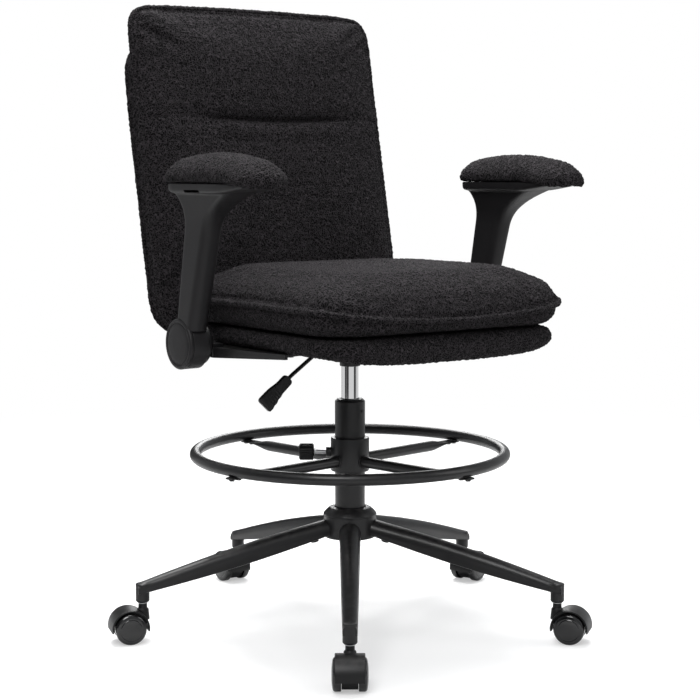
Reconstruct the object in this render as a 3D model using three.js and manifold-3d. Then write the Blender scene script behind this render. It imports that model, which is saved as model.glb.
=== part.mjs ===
// Drafting chair: five-leg base on twin-wheel casters, foot ring on the column,
// gas lift, two-layer seat, padded back and flip-up padded arms.
// Millimetres, +Z up, front of the chair towards -Y, the sitter's left towards +X.
// Everything is laid out from the column's axis at x = y = 0 with the floor at z = 0.
import * as THREE from 'three';
import { mergeVertices } from 'three/addons/utils/BufferGeometryUtils.js';
import Module from 'manifold-3d';

const wasm = await Module();
wasm.setup();

// ---- driving dimensions ----------------------------------------------------------
const GAP = 0.35; // between solids that meet
const ROUND = 28; // segments round a full circle
const WHEEL_SIDES = 24; // flats round a wheel, one of them on the floor
const LEG_COUNT = 5;

const LEG = {
  start: 30, end: 360, rootTop: 181, tipTop: 95, rootBottom: 156, tipBottom: 78,
  rootWidth: 36, tipWidth: 22, crown: 5, belly: 5,
};
const SOCKET = { reach: 352, radius: 11, bottom: 64.2, top: 94.5, bore: 5.9, boreTop: 92.8 };
const HUB = {
  bottom: 149, foot: 43, radius: 44, shoulder: 44.5, shoulderZ: 187.5,
  crease: 34.5, creaseZ: 197.6, top: 199.6, rim: 28,
};
const COLUMN = { outer: 25, inner: 23, bottom: 152, floor: 3, top: 378 };
const BEARING = { outer: 15, height: 8 };
const BUSH = { bottom: 302, top: 380.5, outer: 22.6, bore: 14.5 };
const CYLINDER = { radius: 14, inner: 12, bottom: 190, top: 457 };
const ROD = { radius: 5, bottom: 154, head: 11.4, top: 402, headLength: 14 };
const PIN = { radius: 3, bottom: 446, top: 463.6 };

const RING = { radius: 256.5, tube: 9.3, z: 290.6 };
const COLLAR = { bore: 25.5, outer: 32, bottom: 260, top: 316 };
const SPOKE = { radius: 9, z: 277.5, tabWidth: 24, tabThick: 3, tabTop: 281, tabStart: 238, tabEnd: 267 };
const SPOKE_ANGLES = [9, 99, 189, 279];
const KNOB = { angle: -126, z: 291, start: 60, length: 25, radius: 14, screwRadius: 4 };

const SEAT = {
  halfWidth: 253, front: -298, rear: 172, corner: 78,
  flangeFront: 531, flangeSide: 552, crown: 603, under: 512,
};
const BASE_CUSHION = {
  halfWidth: 236, front: -282, rear: 166, corner: 72,
  top: 511.6, bottom: 481.4, lip: 464,
};
const BOARD = { halfWidth: 200, front: -240, rear: 146, corner: 60, bottom: 481.4, thick: 12 };
const MECHANISM = {
  plateX: 75, plateY: 95, plateThick: 3, top: 481, bodyX: 30, bodyY: 70, bodyBottom: 449,
  wall: 3, bossRadius: 17, bossBottom: 435, bossTop: 457.4,
};
const LEVER = {
  rootX: 2.5, pivotX: -28.5, z: 467.4, radius: 3.3, bendX: -57, kneeX: -128, kneeZ: 418,
  tipX: -172, tipZ: 380, paddleWidth: 30, paddleThick: 8, neckShare: 0.65, neckLength: 45, grip: 6,
};

const BACK = {
  lean: 11.3, footY: 186, footZ: 480, bottom: 12, top: 571, halfWidth: 252, corner: 30,
  bulge: 22, depth: 14,
};
const BACK_REAR = { halfWidth: 247, bottom: 8, top: 512, corner: 50, front: 14.4, rear: 84, taper: 26 };
const BACK_BOARD = { halfWidth: 200, bottom: 40, top: 470, corner: 40, front: 14.4, thick: 12 };
const BACK_BRACKET = { halfWidth: 60, thick: 5, top: 210, tongueFront: 100, z: 476 };

const ARM = {
  x: 292, thick: 35, pivotY: 31, pivotZ: 487, hubRadius: 40, hubIn: 276.4, hubOut: 303,
  capOut: 310, postBottom: 508, padX: 294, padY: -87, padLength: 270, padWidth: 80,
  trayBottom: 722, trayTop: 737, trayTip: 5, padTop: 785, padNose: 14, padHeel: 9,
};
const ARM_BRACKET = {
  inner: 180, root: 262, tip: 229, flange: 5, blockFront: 3, rear: 57, front: -149,
  rootBottom: 465, tipBottom: 473, plate: 476.8, top: 480.8, riser: 243, riserTop: 487,
  collarRadius: 34, collarIn: 262, collarOut: 276,
};
const PIVOT_PIN = { radius: 6, start: 266, head: 11, headStart: 294.4, end: 300 };

const CASTER = {
  trail: 23, wheelRadius: 25, wheelIn: 12.9, treadOut: 22.5, wheelOut: 27.2,
  hoodInner: 28.2, hoodOuter: 30.6, hoodHalf: 22.6, webHalf: 12.4, webRadius: 22,
  axle: 3, bore: 3.5, neckRadius: 7, neckTop: 62.1, stemBore: 4.5,
};
const STEM = { low: 4, bottom: 42, ringRadius: 8.2, ringBottom: 62.4, ringTop: 63.9, high: 5.5, top: 92 };

// ---- finishes --------------------------------------------------------------------
const finish = (color, roughness, metalness) =>
  new THREE.MeshStandardMaterial({ color, roughness, metalness });
const blackSteel = finish(0x18181a, 0.45, 0.6);
const chrome = finish(0xd8d9dc, 0.08, 1);
const zincSteel = finish(0xb4b6b8, 0.3, 1);
const greyPlastic = finish(0x2a2a2d, 0.5, 0);
const blackPlastic = finish(0x111113, 0.35, 0);
const glossPlastic = finish(0x0b0b0c, 0.15, 0);
const boucle = finish(0x17161a, 0.95, 0);
const plywood = finish(0xb78f5c, 0.8, 0);

// ---- making solids ---------------------------------------------------------------
const chair = new THREE.Group();

function add(name, geometry, material) {
  const mesh = new THREE.Mesh(geometry, material);
  mesh.name = name;
  chair.add(mesh);
  return mesh;
}

// Merges shared vertices, drops faces with no area and turns the faces outwards.
function closed(geometry) {
  const source = geometry.clone();
  source.deleteAttribute('normal');
  source.deleteAttribute('uv');
  const merged = mergeVertices(source, 1e-3);
  const position = merged.getAttribute('position');
  const kept = [];
  const [a, b, c] = [new THREE.Vector3(), new THREE.Vector3(), new THREE.Vector3()];
  let volume = 0;
  for (let i = 0; i < merged.index.count; i += 3) {
    const corner = [0, 1, 2].map((k) => merged.index.getX(i + k));
    if (new Set(corner).size < 3) continue;
    [a, b, c].forEach((v, k) => v.fromBufferAttribute(position, corner[k]));
    volume += a.dot(b.clone().cross(c));
    kept.push(corner);
  }
  if (volume < 0) kept.forEach((corner) => corner.reverse());
  merged.setIndex(kept.flat());
  return merged;
}

function solid(geometry) {
  const mesh = closed(geometry);
  return new wasm.Manifold(new wasm.Mesh({
    numProp: 3,
    vertProperties: Float32Array.from(mesh.getAttribute('position').array),
    triVerts: Uint32Array.from(mesh.index.array),
  }));
}

function fromSolid(manifold) {
  const mesh = manifold.getMesh();
  const geometry = new THREE.BufferGeometry();
  geometry.setAttribute('position', new THREE.Float32BufferAttribute(mesh.vertProperties, 3));
  geometry.setIndex(Array.from(mesh.triVerts));
  return geometry;
}

const join = (...geometries) => fromSolid(geometries.map(solid).reduce((all, one) => all.add(one)));
const cut = (body, ...tools) =>
  fromSolid(tools.map(solid).reduce((left, tool) => left.subtract(tool), solid(body)));

// A box between two corners.
function block(x0, x1, y0, y1, z0, z1) {
  return new THREE.BoxGeometry(x1 - x0, y1 - y0, z1 - z0)
    .translate((x0 + x1) / 2, (y0 + y1) / 2, (z0 + z1) / 2);
}

// A turned part on the Z axis from [radius, z] points.
function turned(points, segments = ROUND) {
  const profile = points.map(([r, z]) => new THREE.Vector2(r, z));
  return closed(new THREE.LatheGeometry(profile, segments).rotateX(Math.PI / 2));
}

const rod = (radius, z0, z1, segments = ROUND) =>
  turned([[0, z0], [radius, z0], [radius, z1], [0, z1]], segments);
const sleeve = (inner, outer, z0, z1, segments = ROUND) =>
  turned([[inner, z0], [outer, z0], [outer, z1], [inner, z1], [inner, z0]], segments);

// Skins a row of matching convex loops of points and closes both ends.
function loft(loops) {
  const count = loops[0].length;
  const points = loops.flat();
  const faces = [];
  for (let row = 0; row + 1 < loops.length; row += 1) {
    for (let i = 0; i < count; i += 1) {
      const [a, b] = [row * count + i, row * count + ((i + 1) % count)];
      faces.push(a, b, b + count, a, b + count, a + count);
    }
  }
  const last = (loops.length - 1) * count;
  for (let i = 1; i + 1 < count; i += 1) {
    faces.push(0, i + 1, i, last, last + i, last + i + 1);
  }
  const geometry = new THREE.BufferGeometry().setFromPoints(points);
  geometry.setIndex(faces);
  return closed(geometry);
}

const angleDirection = (degrees) => {
  const a = THREE.MathUtils.degToRad(degrees);
  return [Math.sin(a), -Math.cos(a)];
};

// Turns a piece made along +X so that it points at an angle measured from the front.
const pointAt = (geometry, degrees) => geometry.rotateZ(THREE.MathUtils.degToRad(degrees - 90));

// Closed outline with four round corners, as [x, y] points.
function roundedOutline(x0, x1, y0, y1, corner, cornerSteps = 7) {
  const points = [];
  const centres = [[x1 - corner, y1 - corner], [x0 + corner, y1 - corner],
    [x0 + corner, y0 + corner], [x1 - corner, y0 + corner]];
  centres.forEach(([cx, cy], quarter) => {
    for (let i = 0; i <= cornerSteps; i += 1) {
      const a = (quarter + i / cornerSteps) * (Math.PI / 2);
      points.push([cx + corner * Math.cos(a), cy + corner * Math.sin(a)]);
    }
  });
  return points;
}

// A pad made of shrunken copies of one outline; each level is [inset, height],
// where height is a number or a function of the point.
function pad(outline, levels) {
  const xs = outline.map((p) => p[0]);
  const ys = outline.map((p) => p[1]);
  const [cx, cy] = [(Math.max(...xs) + Math.min(...xs)) / 2, (Math.max(...ys) + Math.min(...ys)) / 2];
  const [hx, hy] = [Math.max(...xs) - cx, Math.max(...ys) - cy];
  return loft(levels.map(([inset, height]) => outline.map(([x, y]) => {
    const px = cx + (x - cx) * (1 - inset / hx);
    const py = cy + (y - cy) * (1 - inset / hy);
    return new THREE.Vector3(px, py, typeof height === 'function' ? height(px, py) : height);
  })));
}

function prism(outline, z0, z1) {
  return pad(outline, [[0, z0], [0, z1]]);
}

// ---- five-leg base ---------------------------------------------------------------
function hubGeometry() {
  return turned([
    [COLUMN.outer + GAP, HUB.bottom], [HUB.foot, HUB.bottom], [HUB.radius, HUB.bottom + 3],
    [HUB.radius, HUB.shoulderZ - 3], [HUB.shoulder, HUB.shoulderZ - 2], [HUB.shoulder, HUB.shoulderZ],
    [HUB.crease, HUB.creaseZ], [HUB.rim, HUB.top],
    [COLUMN.outer + GAP, HUB.top], [COLUMN.outer + GAP, HUB.bottom],
  ]);
}

// Half-round section of the pressed steel leg at a distance from the column.
function legSection(reach) {
  const t = (reach - LEG.start) / (LEG.end - LEG.start);
  const half = THREE.MathUtils.lerp(LEG.rootWidth, LEG.tipWidth, t) / 2;
  const bottom = THREE.MathUtils.lerp(LEG.rootBottom, LEG.tipBottom, t)
    - LEG.belly * Math.sin(Math.PI * t);
  const top = THREE.MathUtils.lerp(LEG.rootTop, LEG.tipTop, t) + LEG.crown * Math.sin(Math.PI * t);
  const spring = top - half;
  const loop = [[half * 0.8, bottom], [half, bottom + 3]];
  for (let i = 0; i <= 5; i += 1) {
    const a = (i / 5) * Math.PI;
    loop.push([half * Math.cos(a), Math.max(spring, bottom + 4) + (top - spring) * Math.sin(a) * 0.97]);
  }
  loop.push([-half, bottom + 3], [-half * 0.8, bottom]);
  return loop.map(([y, z]) => new THREE.Vector3(reach, y, z));
}

function legGeometry() {
  const stations = [0, 0.25, 0.5, 0.75, 1];
  const beam = loft(stations.map((t) => legSection(THREE.MathUtils.lerp(LEG.start, LEG.end, t))));
  const socket = rod(SOCKET.radius, SOCKET.bottom, SOCKET.top, 16).translate(SOCKET.reach, 0, 0);
  const bore = rod(SOCKET.bore, SOCKET.bottom - 1, SOCKET.boreTop, 12).translate(SOCKET.reach, 0, 0);
  const hubRoom = rod(HUB.radius + GAP, 0, 300, ROUND);
  return cut(join(beam, socket), bore, hubRoom);
}

function buildBase() {
  add('base_hub', hubGeometry(), blackSteel);
  for (let n = 0; n < LEG_COUNT; n += 1) {
    add(`base_leg_${n + 1}`, pointAt(legGeometry(), legAngle(n)), blackSteel);
  }
}

const legAngle = (n) => 180 + (n * 360) / LEG_COUNT;

// ---- column and gas lift ---------------------------------------------------------
function columnGeometry() {
  return turned([
    [ROD.radius + 1, COLUMN.bottom - 2], [COLUMN.outer, COLUMN.bottom - 2],
    [COLUMN.outer, COLUMN.top - 2], [COLUMN.outer - 2, COLUMN.top],
    [COLUMN.inner, COLUMN.top], [COLUMN.inner, COLUMN.bottom + COLUMN.floor],
    [ROD.radius + 1, COLUMN.bottom + COLUMN.floor], [ROD.radius + 1, COLUMN.bottom - 2],
  ]);
}

function cylinderGeometry() {
  const neck = ROD.radius + 0.6;
  return turned([
    [neck, CYLINDER.bottom], [CYLINDER.radius, CYLINDER.bottom], [CYLINDER.radius, CYLINDER.top - 12],
    [CYLINDER.radius - 0.6, CYLINDER.top], [PIN.radius + 0.5, CYLINDER.top],
    [PIN.radius + 0.5, CYLINDER.top - 20], [CYLINDER.inner, CYLINDER.top - 24],
    [CYLINDER.inner, CYLINDER.bottom + 6], [neck, CYLINDER.bottom + 6], [neck, CYLINDER.bottom],
  ]);
}

function rodGeometry() {
  return turned([
    [0, ROD.bottom - 10], [ROD.radius - 1, ROD.bottom - 10], [ROD.radius, ROD.bottom - 9],
    [ROD.radius, ROD.top - ROD.headLength], [ROD.head, ROD.top - ROD.headLength],
    [ROD.head, ROD.top], [0, ROD.top],
  ], 24);
}

function buildLift() {
  add('column_tube', columnGeometry(), blackSteel);
  add('column_bush', turned([
    [BUSH.bore, BUSH.bottom], [BUSH.outer, BUSH.bottom], [BUSH.outer, COLUMN.top + GAP],
    [BUSH.outer - 2, BUSH.top], [BUSH.bore, BUSH.top], [BUSH.bore, BUSH.bottom],
  ]), blackPlastic);
  const floor = COLUMN.bottom + COLUMN.floor;
  add('thrust_bearing', sleeve(ROD.radius + GAP, BEARING.outer, floor + GAP, floor + BEARING.height, 24),
    zincSteel);
  add('retaining_clip', sleeve(ROD.radius + GAP, 9, COLUMN.bottom - 4.5, COLUMN.bottom - 3, 20), zincSteel);
  add('piston_rod', rodGeometry(), zincSteel);
  add('gas_cylinder', cylinderGeometry(), chrome);
  add('release_pin', rod(PIN.radius, PIN.bottom, PIN.top, 16), zincSteel);
}

// ---- foot ring -------------------------------------------------------------------
// Round tube that flattens into a screw tab under the ring.
function spokeGeometry() {
  const tabZ = SPOKE.tabTop - SPOKE.tabThick / 2;
  const stations = [
    [COLLAR.outer - 4, SPOKE.radius, SPOKE.radius, SPOKE.z],
    [SPOKE.tabStart - 40, SPOKE.radius, SPOKE.radius, SPOKE.z],
    [SPOKE.tabStart - 6, SPOKE.tabWidth / 2, SPOKE.tabThick / 2, tabZ],
    [SPOKE.tabEnd, SPOKE.tabWidth / 2, SPOKE.tabThick / 2, tabZ],
  ];
  return loft(stations.map(([reach, halfWidth, halfThick, z]) => {
    const loop = [];
    for (let i = 0; i < 12; i += 1) {
      const a = (i / 12) * 2 * Math.PI;
      loop.push(new THREE.Vector3(reach, halfWidth * Math.cos(a), z + halfThick * Math.sin(a)));
    }
    return loop;
  }));
}

function spiderGeometry() {
  const spokes = SPOKE_ANGLES.map((angle) => pointAt(spokeGeometry(), angle));
  const boss = pointAt(rod(8, COLLAR.outer - 4, COLLAR.outer + 8, 20)
    .rotateY(Math.PI / 2).translate(0, 0, KNOB.z), KNOB.angle);
  const screwRoom = pointAt(rod(KNOB.screwRadius + 0.5, 0, 80, 20)
    .rotateY(Math.PI / 2).translate(0, 0, KNOB.z), KNOB.angle);
  const body = join(rod(COLLAR.outer, COLLAR.bottom, COLLAR.top), ...spokes, boss);
  return cut(body, rod(COLLAR.bore, 0, 400), screwRoom);
}

function knobGeometry() {
  const ribs = 12;
  const loop = [];
  for (let i = 0; i < ribs * 2; i += 1) {
    const a = (i / (ribs * 2)) * 2 * Math.PI;
    const r = KNOB.radius - (i % 2) * 1.2;
    loop.push([r * Math.cos(a), r * Math.sin(a)]);
  }
  const grip = prism(loop, KNOB.start, KNOB.start + KNOB.length);
  const hole = rod(KNOB.screwRadius + GAP, KNOB.start - 1, KNOB.start + 14, 16);
  return cut(grip, hole).rotateY(Math.PI / 2).translate(0, 0, KNOB.z);
}

function buildFootRing() {
  const ring = new THREE.TorusGeometry(RING.radius, RING.tube, 8, 56).translate(0, 0, RING.z);
  add('foot_ring', closed(ring), blackSteel);
  add('ring_spider', spiderGeometry(), blackSteel);
  add('clamp_knob', pointAt(knobGeometry(), KNOB.angle), blackPlastic);
  const screw = rod(KNOB.screwRadius, COLUMN.outer + GAP, KNOB.start + 13.5, 16);
  add('clamp_screw', pointAt(screw.rotateY(Math.PI / 2).translate(0, 0, KNOB.z), KNOB.angle), zincSteel);
}

// ---- under-seat mechanism --------------------------------------------------------
function mechanismGeometry() {
  const m = MECHANISM;
  const plate = block(-m.plateX, m.plateX, -m.plateY, m.plateY, m.top - m.plateThick, m.top);
  const body = block(-m.bodyX, m.bodyX, -m.bodyY, m.bodyY, m.bodyBottom, m.top - 1);
  const room = block(-m.bodyX + m.wall, m.bodyX - m.wall, -m.bodyY + m.wall, m.bodyY - m.wall,
    m.bodyBottom - 1, m.top - m.plateThick);
  const boss = rod(m.bossRadius, m.bossBottom, m.bossTop);
  const floor = block(-m.bodyX + 1, m.bodyX - 1, -24, 24, m.bodyBottom, m.bodyBottom + m.wall);
  const bore = rod(CYLINDER.radius + GAP, m.bossBottom - 1, m.bossTop + 1);
  const slot = block(-m.bodyX - 1, -m.bodyX + m.wall + 1, -6, 6, LEVER.z - 8, LEVER.z + 8);
  return cut(join(cut(join(plate, body), room), floor, boss), bore, slot);
}

// Unit direction of the grip, from the knee of the rod to the tip.
function leverDrop() {
  return new THREE.Vector3(LEVER.tipX - LEVER.kneeX, 0, LEVER.tipZ - LEVER.kneeZ).normalize();
}

function leverRodGeometry() {
  const knee = new THREE.Vector3(LEVER.kneeX, 0, LEVER.kneeZ);
  const route = new THREE.CatmullRomCurve3([
    new THREE.Vector3(LEVER.rootX, 0, LEVER.z),
    new THREE.Vector3(LEVER.pivotX, 0, LEVER.z),
    new THREE.Vector3(LEVER.bendX + 6, 0, LEVER.z - 1.5),
    new THREE.Vector3(LEVER.bendX - 10, 0, LEVER.z - 10),
    knee.clone().addScaledVector(leverDrop(), -2.5 * LEVER.grip),
    knee,
  ], false, 'centripetal');
  const section = new THREE.Shape();
  section.absarc(0, 0, LEVER.radius, 0, 2 * Math.PI);
  return closed(new THREE.ExtrudeGeometry(section, { curveSegments: 10, steps: 18, extrudePath: route }));
}

// Flat upright grip made along -X from the origin, then tipped down the line of the rod.
function leverPaddleGeometry() {
  const drop = leverDrop();
  const length = Math.hypot(LEVER.tipX - LEVER.kneeX, LEVER.tipZ - LEVER.kneeZ);
  const half = LEVER.paddleWidth / 2;
  const neck = (x) =>
    THREE.MathUtils.lerp(1, LEVER.neckShare, THREE.MathUtils.smoothstep(x, -LEVER.neckLength, 0));
  const outline = roundedOutline(-length, 4, -half, half, 7, 4).map(([x, y]) => [x, y * neck(x)]);
  const slab = prism(outline, -LEVER.paddleThick / 2, LEVER.paddleThick / 2).rotateX(Math.PI / 2);
  const room = rod(LEVER.radius + GAP, -LEVER.grip, LEVER.grip, 16).rotateY(Math.PI / 2);
  return cut(slab, room).rotateY(Math.PI - Math.atan2(drop.z, drop.x))
    .translate(LEVER.kneeX - drop.x * (LEVER.grip - 1), 0, LEVER.kneeZ - drop.z * (LEVER.grip - 1));
}

function buildMechanism() {
  add('mechanism_plate', mechanismGeometry(), blackSteel);
  add('lever_rod', leverRodGeometry(), blackSteel);
  add('lever_paddle', leverPaddleGeometry(), blackPlastic);
}

// ---- seat ------------------------------------------------------------------------
// The seam of the upper cushion dips at the middle of the front and rises to the sides.
function seatFlange(x, y) {
  const forward = THREE.MathUtils.clamp((y - SEAT.rear) / (SEAT.front - SEAT.rear), 0, 1);
  const middle = 1 - Math.min(1, Math.abs(x) / SEAT.halfWidth) ** 2;
  const dip = middle * THREE.MathUtils.smoothstep(forward, 0.7, 1);
  return THREE.MathUtils.lerp(SEAT.flangeSide, SEAT.flangeFront, dip);
}

function upperCushionGeometry() {
  const outline = roundedOutline(-SEAT.halfWidth, SEAT.halfWidth, SEAT.front, SEAT.rear, SEAT.corner, 8);
  return pad(outline, [
    [40, SEAT.under], [14, (x, y) => seatFlange(x, y) - 22],
    [0, (x, y) => seatFlange(x, y) - 6], [0, (x, y) => seatFlange(x, y) + 6],
    [12, (x, y) => THREE.MathUtils.lerp(seatFlange(x, y), SEAT.crown, 0.6)],
    [36, SEAT.crown - 6], [84, SEAT.crown], [150, SEAT.crown],
  ]);
}

function lowerCushionGeometry() {
  const b = BASE_CUSHION;
  const outline = roundedOutline(-b.halfWidth, b.halfWidth, b.front, b.rear, b.corner, 7);
  const lip = (x, y) => {
    const forward = THREE.MathUtils.smoothstep(-y, -b.front - 78, -b.front - 10);
    const middle = 1 - Math.min(1, Math.abs(x) / b.halfWidth) ** 4;
    return THREE.MathUtils.lerp(b.bottom, b.lip, forward * middle);
  };
  const slab = pad(outline, [
    [96, b.bottom], [74, b.bottom], [14, lip], [4, (x, y) => lip(x, y) + 6],
    [0, (x, y) => lip(x, y) + 15], [4, b.top - 5], [12, b.top],
  ]);
  const k = BOARD;
  const room = prism(roundedOutline(-k.halfWidth - GAP, k.halfWidth + GAP, k.front - GAP, k.rear + GAP,
    k.corner, 6), b.lip - 20, k.bottom + k.thick + GAP);
  return cut(slab, room);
}

function buildSeat() {
  const k = BOARD;
  const outline = roundedOutline(-k.halfWidth, k.halfWidth, k.front, k.rear, k.corner, 6);
  add('seat_pan', prism(outline, k.bottom, k.bottom + k.thick), plywood);
  add('seat_lower_cushion', lowerCushionGeometry(), boucle);
  add('seat_upper_cushion', upperCushionGeometry(), boucle);
}

// ---- back ------------------------------------------------------------------------
// The back is made lying down (x across, y up the back, z towards its front),
// then stood up and leaned.
function standBack(geometry) {
  return geometry.rotateX(Math.PI / 2 - THREE.MathUtils.degToRad(BACK.lean))
    .translate(0, BACK.footY, BACK.footZ);
}

function frontPadGeometry() {
  const b = BACK;
  const outline = roundedOutline(-b.halfWidth, b.halfWidth, b.bottom, b.top, b.corner, 6);
  const swell = (share) => (x, y) => {
    const low = THREE.MathUtils.smoothstep(y, b.bottom, b.bottom + 130);
    return b.bulge * share * THREE.MathUtils.lerp(0.35, 1, low);
  };
  return pad(outline, [
    [22, -b.depth], [6, -b.depth + 3], [0, -4], [0, 4], [12, swell(0.6)], [40, swell(0.95)], [90, swell(1)],
  ]);
}

function rearPadGeometry() {
  const r = BACK_REAR;
  const outline = roundedOutline(-r.halfWidth, r.halfWidth, r.bottom, r.top, r.corner, 6);
  // The pad thins towards its top edge.
  const depth = (share) => (x, y) =>
    -share * (r.rear - r.taper * THREE.MathUtils.smoothstep(y, r.top - 190, r.top));
  const shell = pad(outline, [
    [90, depth(1)], [26, depth(0.98)], [8, depth(0.9)], [0, depth(0.72)], [0, -r.front - 12], [4, -r.front],
  ]);
  const k = BACK_BOARD;
  const boardRoom = prism(roundedOutline(-k.halfWidth - GAP, k.halfWidth + GAP, k.bottom - GAP, k.top + GAP,
    k.corner, 5), -k.front - k.thick - GAP, 0);
  const m = BACK_BRACKET;
  const bracketRoom = block(-m.halfWidth - 1, m.halfWidth + 1, -60, m.top + 2,
    -k.front - k.thick - m.thick - 2 * GAP - 1, 0);
  return cut(shell, boardRoom, bracketRoom);
}

// One steel strip: a tongue under the seat board that bends up behind the back board.
function backBracketGeometry() {
  const m = BACK_BRACKET;
  const k = BACK_BOARD;
  const lean = THREE.MathUtils.degToRad(BACK.lean);
  const depth = k.front + k.thick + GAP;
  const along = (distance, offset) => [
    BACK.footY + distance * Math.sin(lean) + offset * Math.cos(lean),
    BACK.footZ + distance * Math.cos(lean) - offset * Math.sin(lean),
  ];
  const bendFrom = (z, offset) => {
    const distance = (z - BACK.footZ + offset * Math.sin(lean)) / Math.cos(lean);
    return along(distance, offset);
  };
  const outline = [
    [m.tongueFront, m.z], [bendFrom(m.z, depth + m.thick)[0], m.z], along(m.top, depth + m.thick),
    along(m.top, depth), [bendFrom(m.z + m.thick - 0.4, depth)[0], m.z + m.thick - 0.4],
    [m.tongueFront, m.z + m.thick - 0.4],
  ];
  const shape = new THREE.Shape(outline.map(([y, z]) => new THREE.Vector2(y, z)));
  const strip = new THREE.ExtrudeGeometry(shape, { depth: 2 * m.halfWidth, bevelEnabled: false });
  return closed(strip.translate(0, 0, -m.halfWidth)
    .applyMatrix4(new THREE.Matrix4().set(0, 0, 1, 0, 1, 0, 0, 0, 0, 1, 0, 0, 0, 0, 0, 1)));
}

function buildBack() {
  const k = BACK_BOARD;
  const board = prism(roundedOutline(-k.halfWidth, k.halfWidth, k.bottom, k.top, k.corner, 5),
    -k.front - k.thick, -k.front);
  add('back_bracket', backBracketGeometry(), blackSteel);
  add('back_board', standBack(board), plywood);
  add('back_rear_pad', standBack(rearPadGeometry()), boucle);
  add('back_front_pad', standBack(frontPadGeometry()), boucle);
}

// ---- flip-up arms ----------------------------------------------------------------
// Turned parts on the arm's pivot: [radius, distance from the chair's middle].
function onPivot(points, segments = ROUND) {
  return turned(points, segments).rotateY(Math.PI / 2).translate(0, ARM.pivotY, ARM.pivotZ);
}

// Plate under the seat with a tapered flange down its slanted outer edge, and the hinge collar.
function armBracketGeometry() {
  const b = ARM_BRACKET;
  const plate = prism([[b.inner, b.front + 9], [b.tip, b.front], [b.root, b.blockFront],
    [b.root, b.rear], [b.inner, b.rear]], b.plate, b.top);
  const lowerEdge = (x, y) =>
    THREE.MathUtils.mapLinear(y, b.blockFront, b.front, b.rootBottom, b.tipBottom);
  const flange = pad([[b.tip - b.flange, b.front], [b.tip, b.front], [b.root, b.blockFront + 2],
    [b.root - b.flange, b.blockFront + 2]], [[0, lowerEdge], [0, b.top]]);
  const riser = block(b.riser, b.collarIn + 2, b.blockFront, b.rear, b.rootBottom, b.riserTop);
  const collar = onPivot([[0, b.collarIn], [b.collarRadius - 5, b.collarIn],
    [b.collarRadius, b.collarIn + 5], [b.collarRadius, b.collarOut], [0, b.collarOut]]);
  const hole = onPivot([[0, PIVOT_PIN.start - 0.3], [PIVOT_PIN.radius + GAP, PIVOT_PIN.start - 0.3],
    [PIVOT_PIN.radius + GAP, b.collarOut + 1], [0, b.collarOut + 1]], 20);
  return cut(join(plate, flange, riser, collar), hole);
}

function armHubGeometry() {
  const p = PIVOT_PIN;
  const recess = p.headStart - 1;
  return onPivot([
    [p.radius + 0.5, ARM.hubIn], [ARM.hubRadius, ARM.hubIn], [ARM.hubRadius, ARM.hubOut],
    [ARM.hubRadius - 8, ARM.hubOut], [ARM.hubRadius - 8, recess], [p.radius + 0.5, recess],
    [p.radius + 0.5, ARM.hubIn],
  ]);
}

function pivotPinGeometry() {
  const p = PIVOT_PIN;
  return onPivot([[0, p.start], [p.radius, p.start], [p.radius, p.headStart], [p.head, p.headStart],
    [p.head, p.end], [0, p.end]], 20);
}

function armCapGeometry() {
  const [r, start] = [ARM.hubRadius, ARM.hubOut + GAP];
  return onPivot([[0, start], [r, start], [r, ARM.capOut - 2.5], [r - 2.5, ARM.capOut], [r - 9, ARM.capOut],
    [r - 10, ARM.capOut - 1], [0, ARM.capOut - 1]]);
}

// Rounded section of the upright; it leans back towards the pivot and flares at the top.
function postSection(z) {
  const t = (z - ARM.postBottom) / (700 - ARM.postBottom);
  const flare = THREE.MathUtils.clamp((z - 668) / (ARM.trayBottom + 2 - 668), 0, 1);
  const front = THREE.MathUtils.lerp(-8, -64, t) - 78 * flare ** 3;
  const rear = THREE.MathUtils.lerp(41, 6, t) + 26 * flare ** 4;
  const half = ARM.thick / 2 + 4 * flare ** 2;
  const middle = ARM.x + (ARM.padX - ARM.x) * flare;
  return roundedOutline(middle - half, middle + half, front, rear, 13, 3)
    .map(([x, y]) => new THREE.Vector3(x, y, z));
}

function armPostGeometry() {
  const heights = [0, 0.25, 0.5, 0.72, 0.84, 0.91, 0.96, 1]
    .map((t) => THREE.MathUtils.lerp(ARM.postBottom, ARM.trayBottom + 2, t));
  const upright = loft(heights.map(postSection));
  const [hx, hy] = [ARM.padWidth / 2, ARM.padLength / 2];
  const outline = roundedOutline(ARM.padX - hx, ARM.padX + hx, ARM.padY - hy, ARM.padY + hy, hx - 1, 6);
  const thin = (y) => (ARM.trayTop - ARM.trayBottom - ARM.trayTip)
    * THREE.MathUtils.smoothstep(-y, -ARM.padY + 20, -ARM.padY + hy);
  const tray = pad(outline, [
    [14, (x, y) => ARM.trayBottom + thin(y)], [4, (x, y) => ARM.trayBottom + 3 + thin(y)], [2, ARM.trayTop],
  ]);
  const hubRoom = onPivot([[0, 200], [ARM.hubRadius + GAP, 200], [ARM.hubRadius + GAP, 330], [0, 330]]);
  return cut(join(upright, tray), hubRoom);
}

function armPadGeometry() {
  const [hx, hy] = [ARM.padWidth / 2, ARM.padLength / 2];
  const base = ARM.trayTop + GAP;
  // The pad is highest a little behind its middle and falls towards both ends.
  const crown = (y) => ARM.padTop - ARM.padNose * THREE.MathUtils.smoothstep(-y, -ARM.padY, -ARM.padY + hy)
    - ARM.padHeel * THREE.MathUtils.smoothstep(y, ARM.padY + 20, ARM.padY + hy);
  const level = (share) => (x, y) => THREE.MathUtils.lerp(base, crown(y), share);
  const outline = roundedOutline(ARM.padX - hx, ARM.padX + hx, ARM.padY - hy, ARM.padY + hy, hx - 1, 7);
  return pad(outline, [[3, base], [0, level(0.25)], [3, level(0.55)], [10, level(0.8)],
    [19, level(0.94)], [30, level(1)]]);
}

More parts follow.
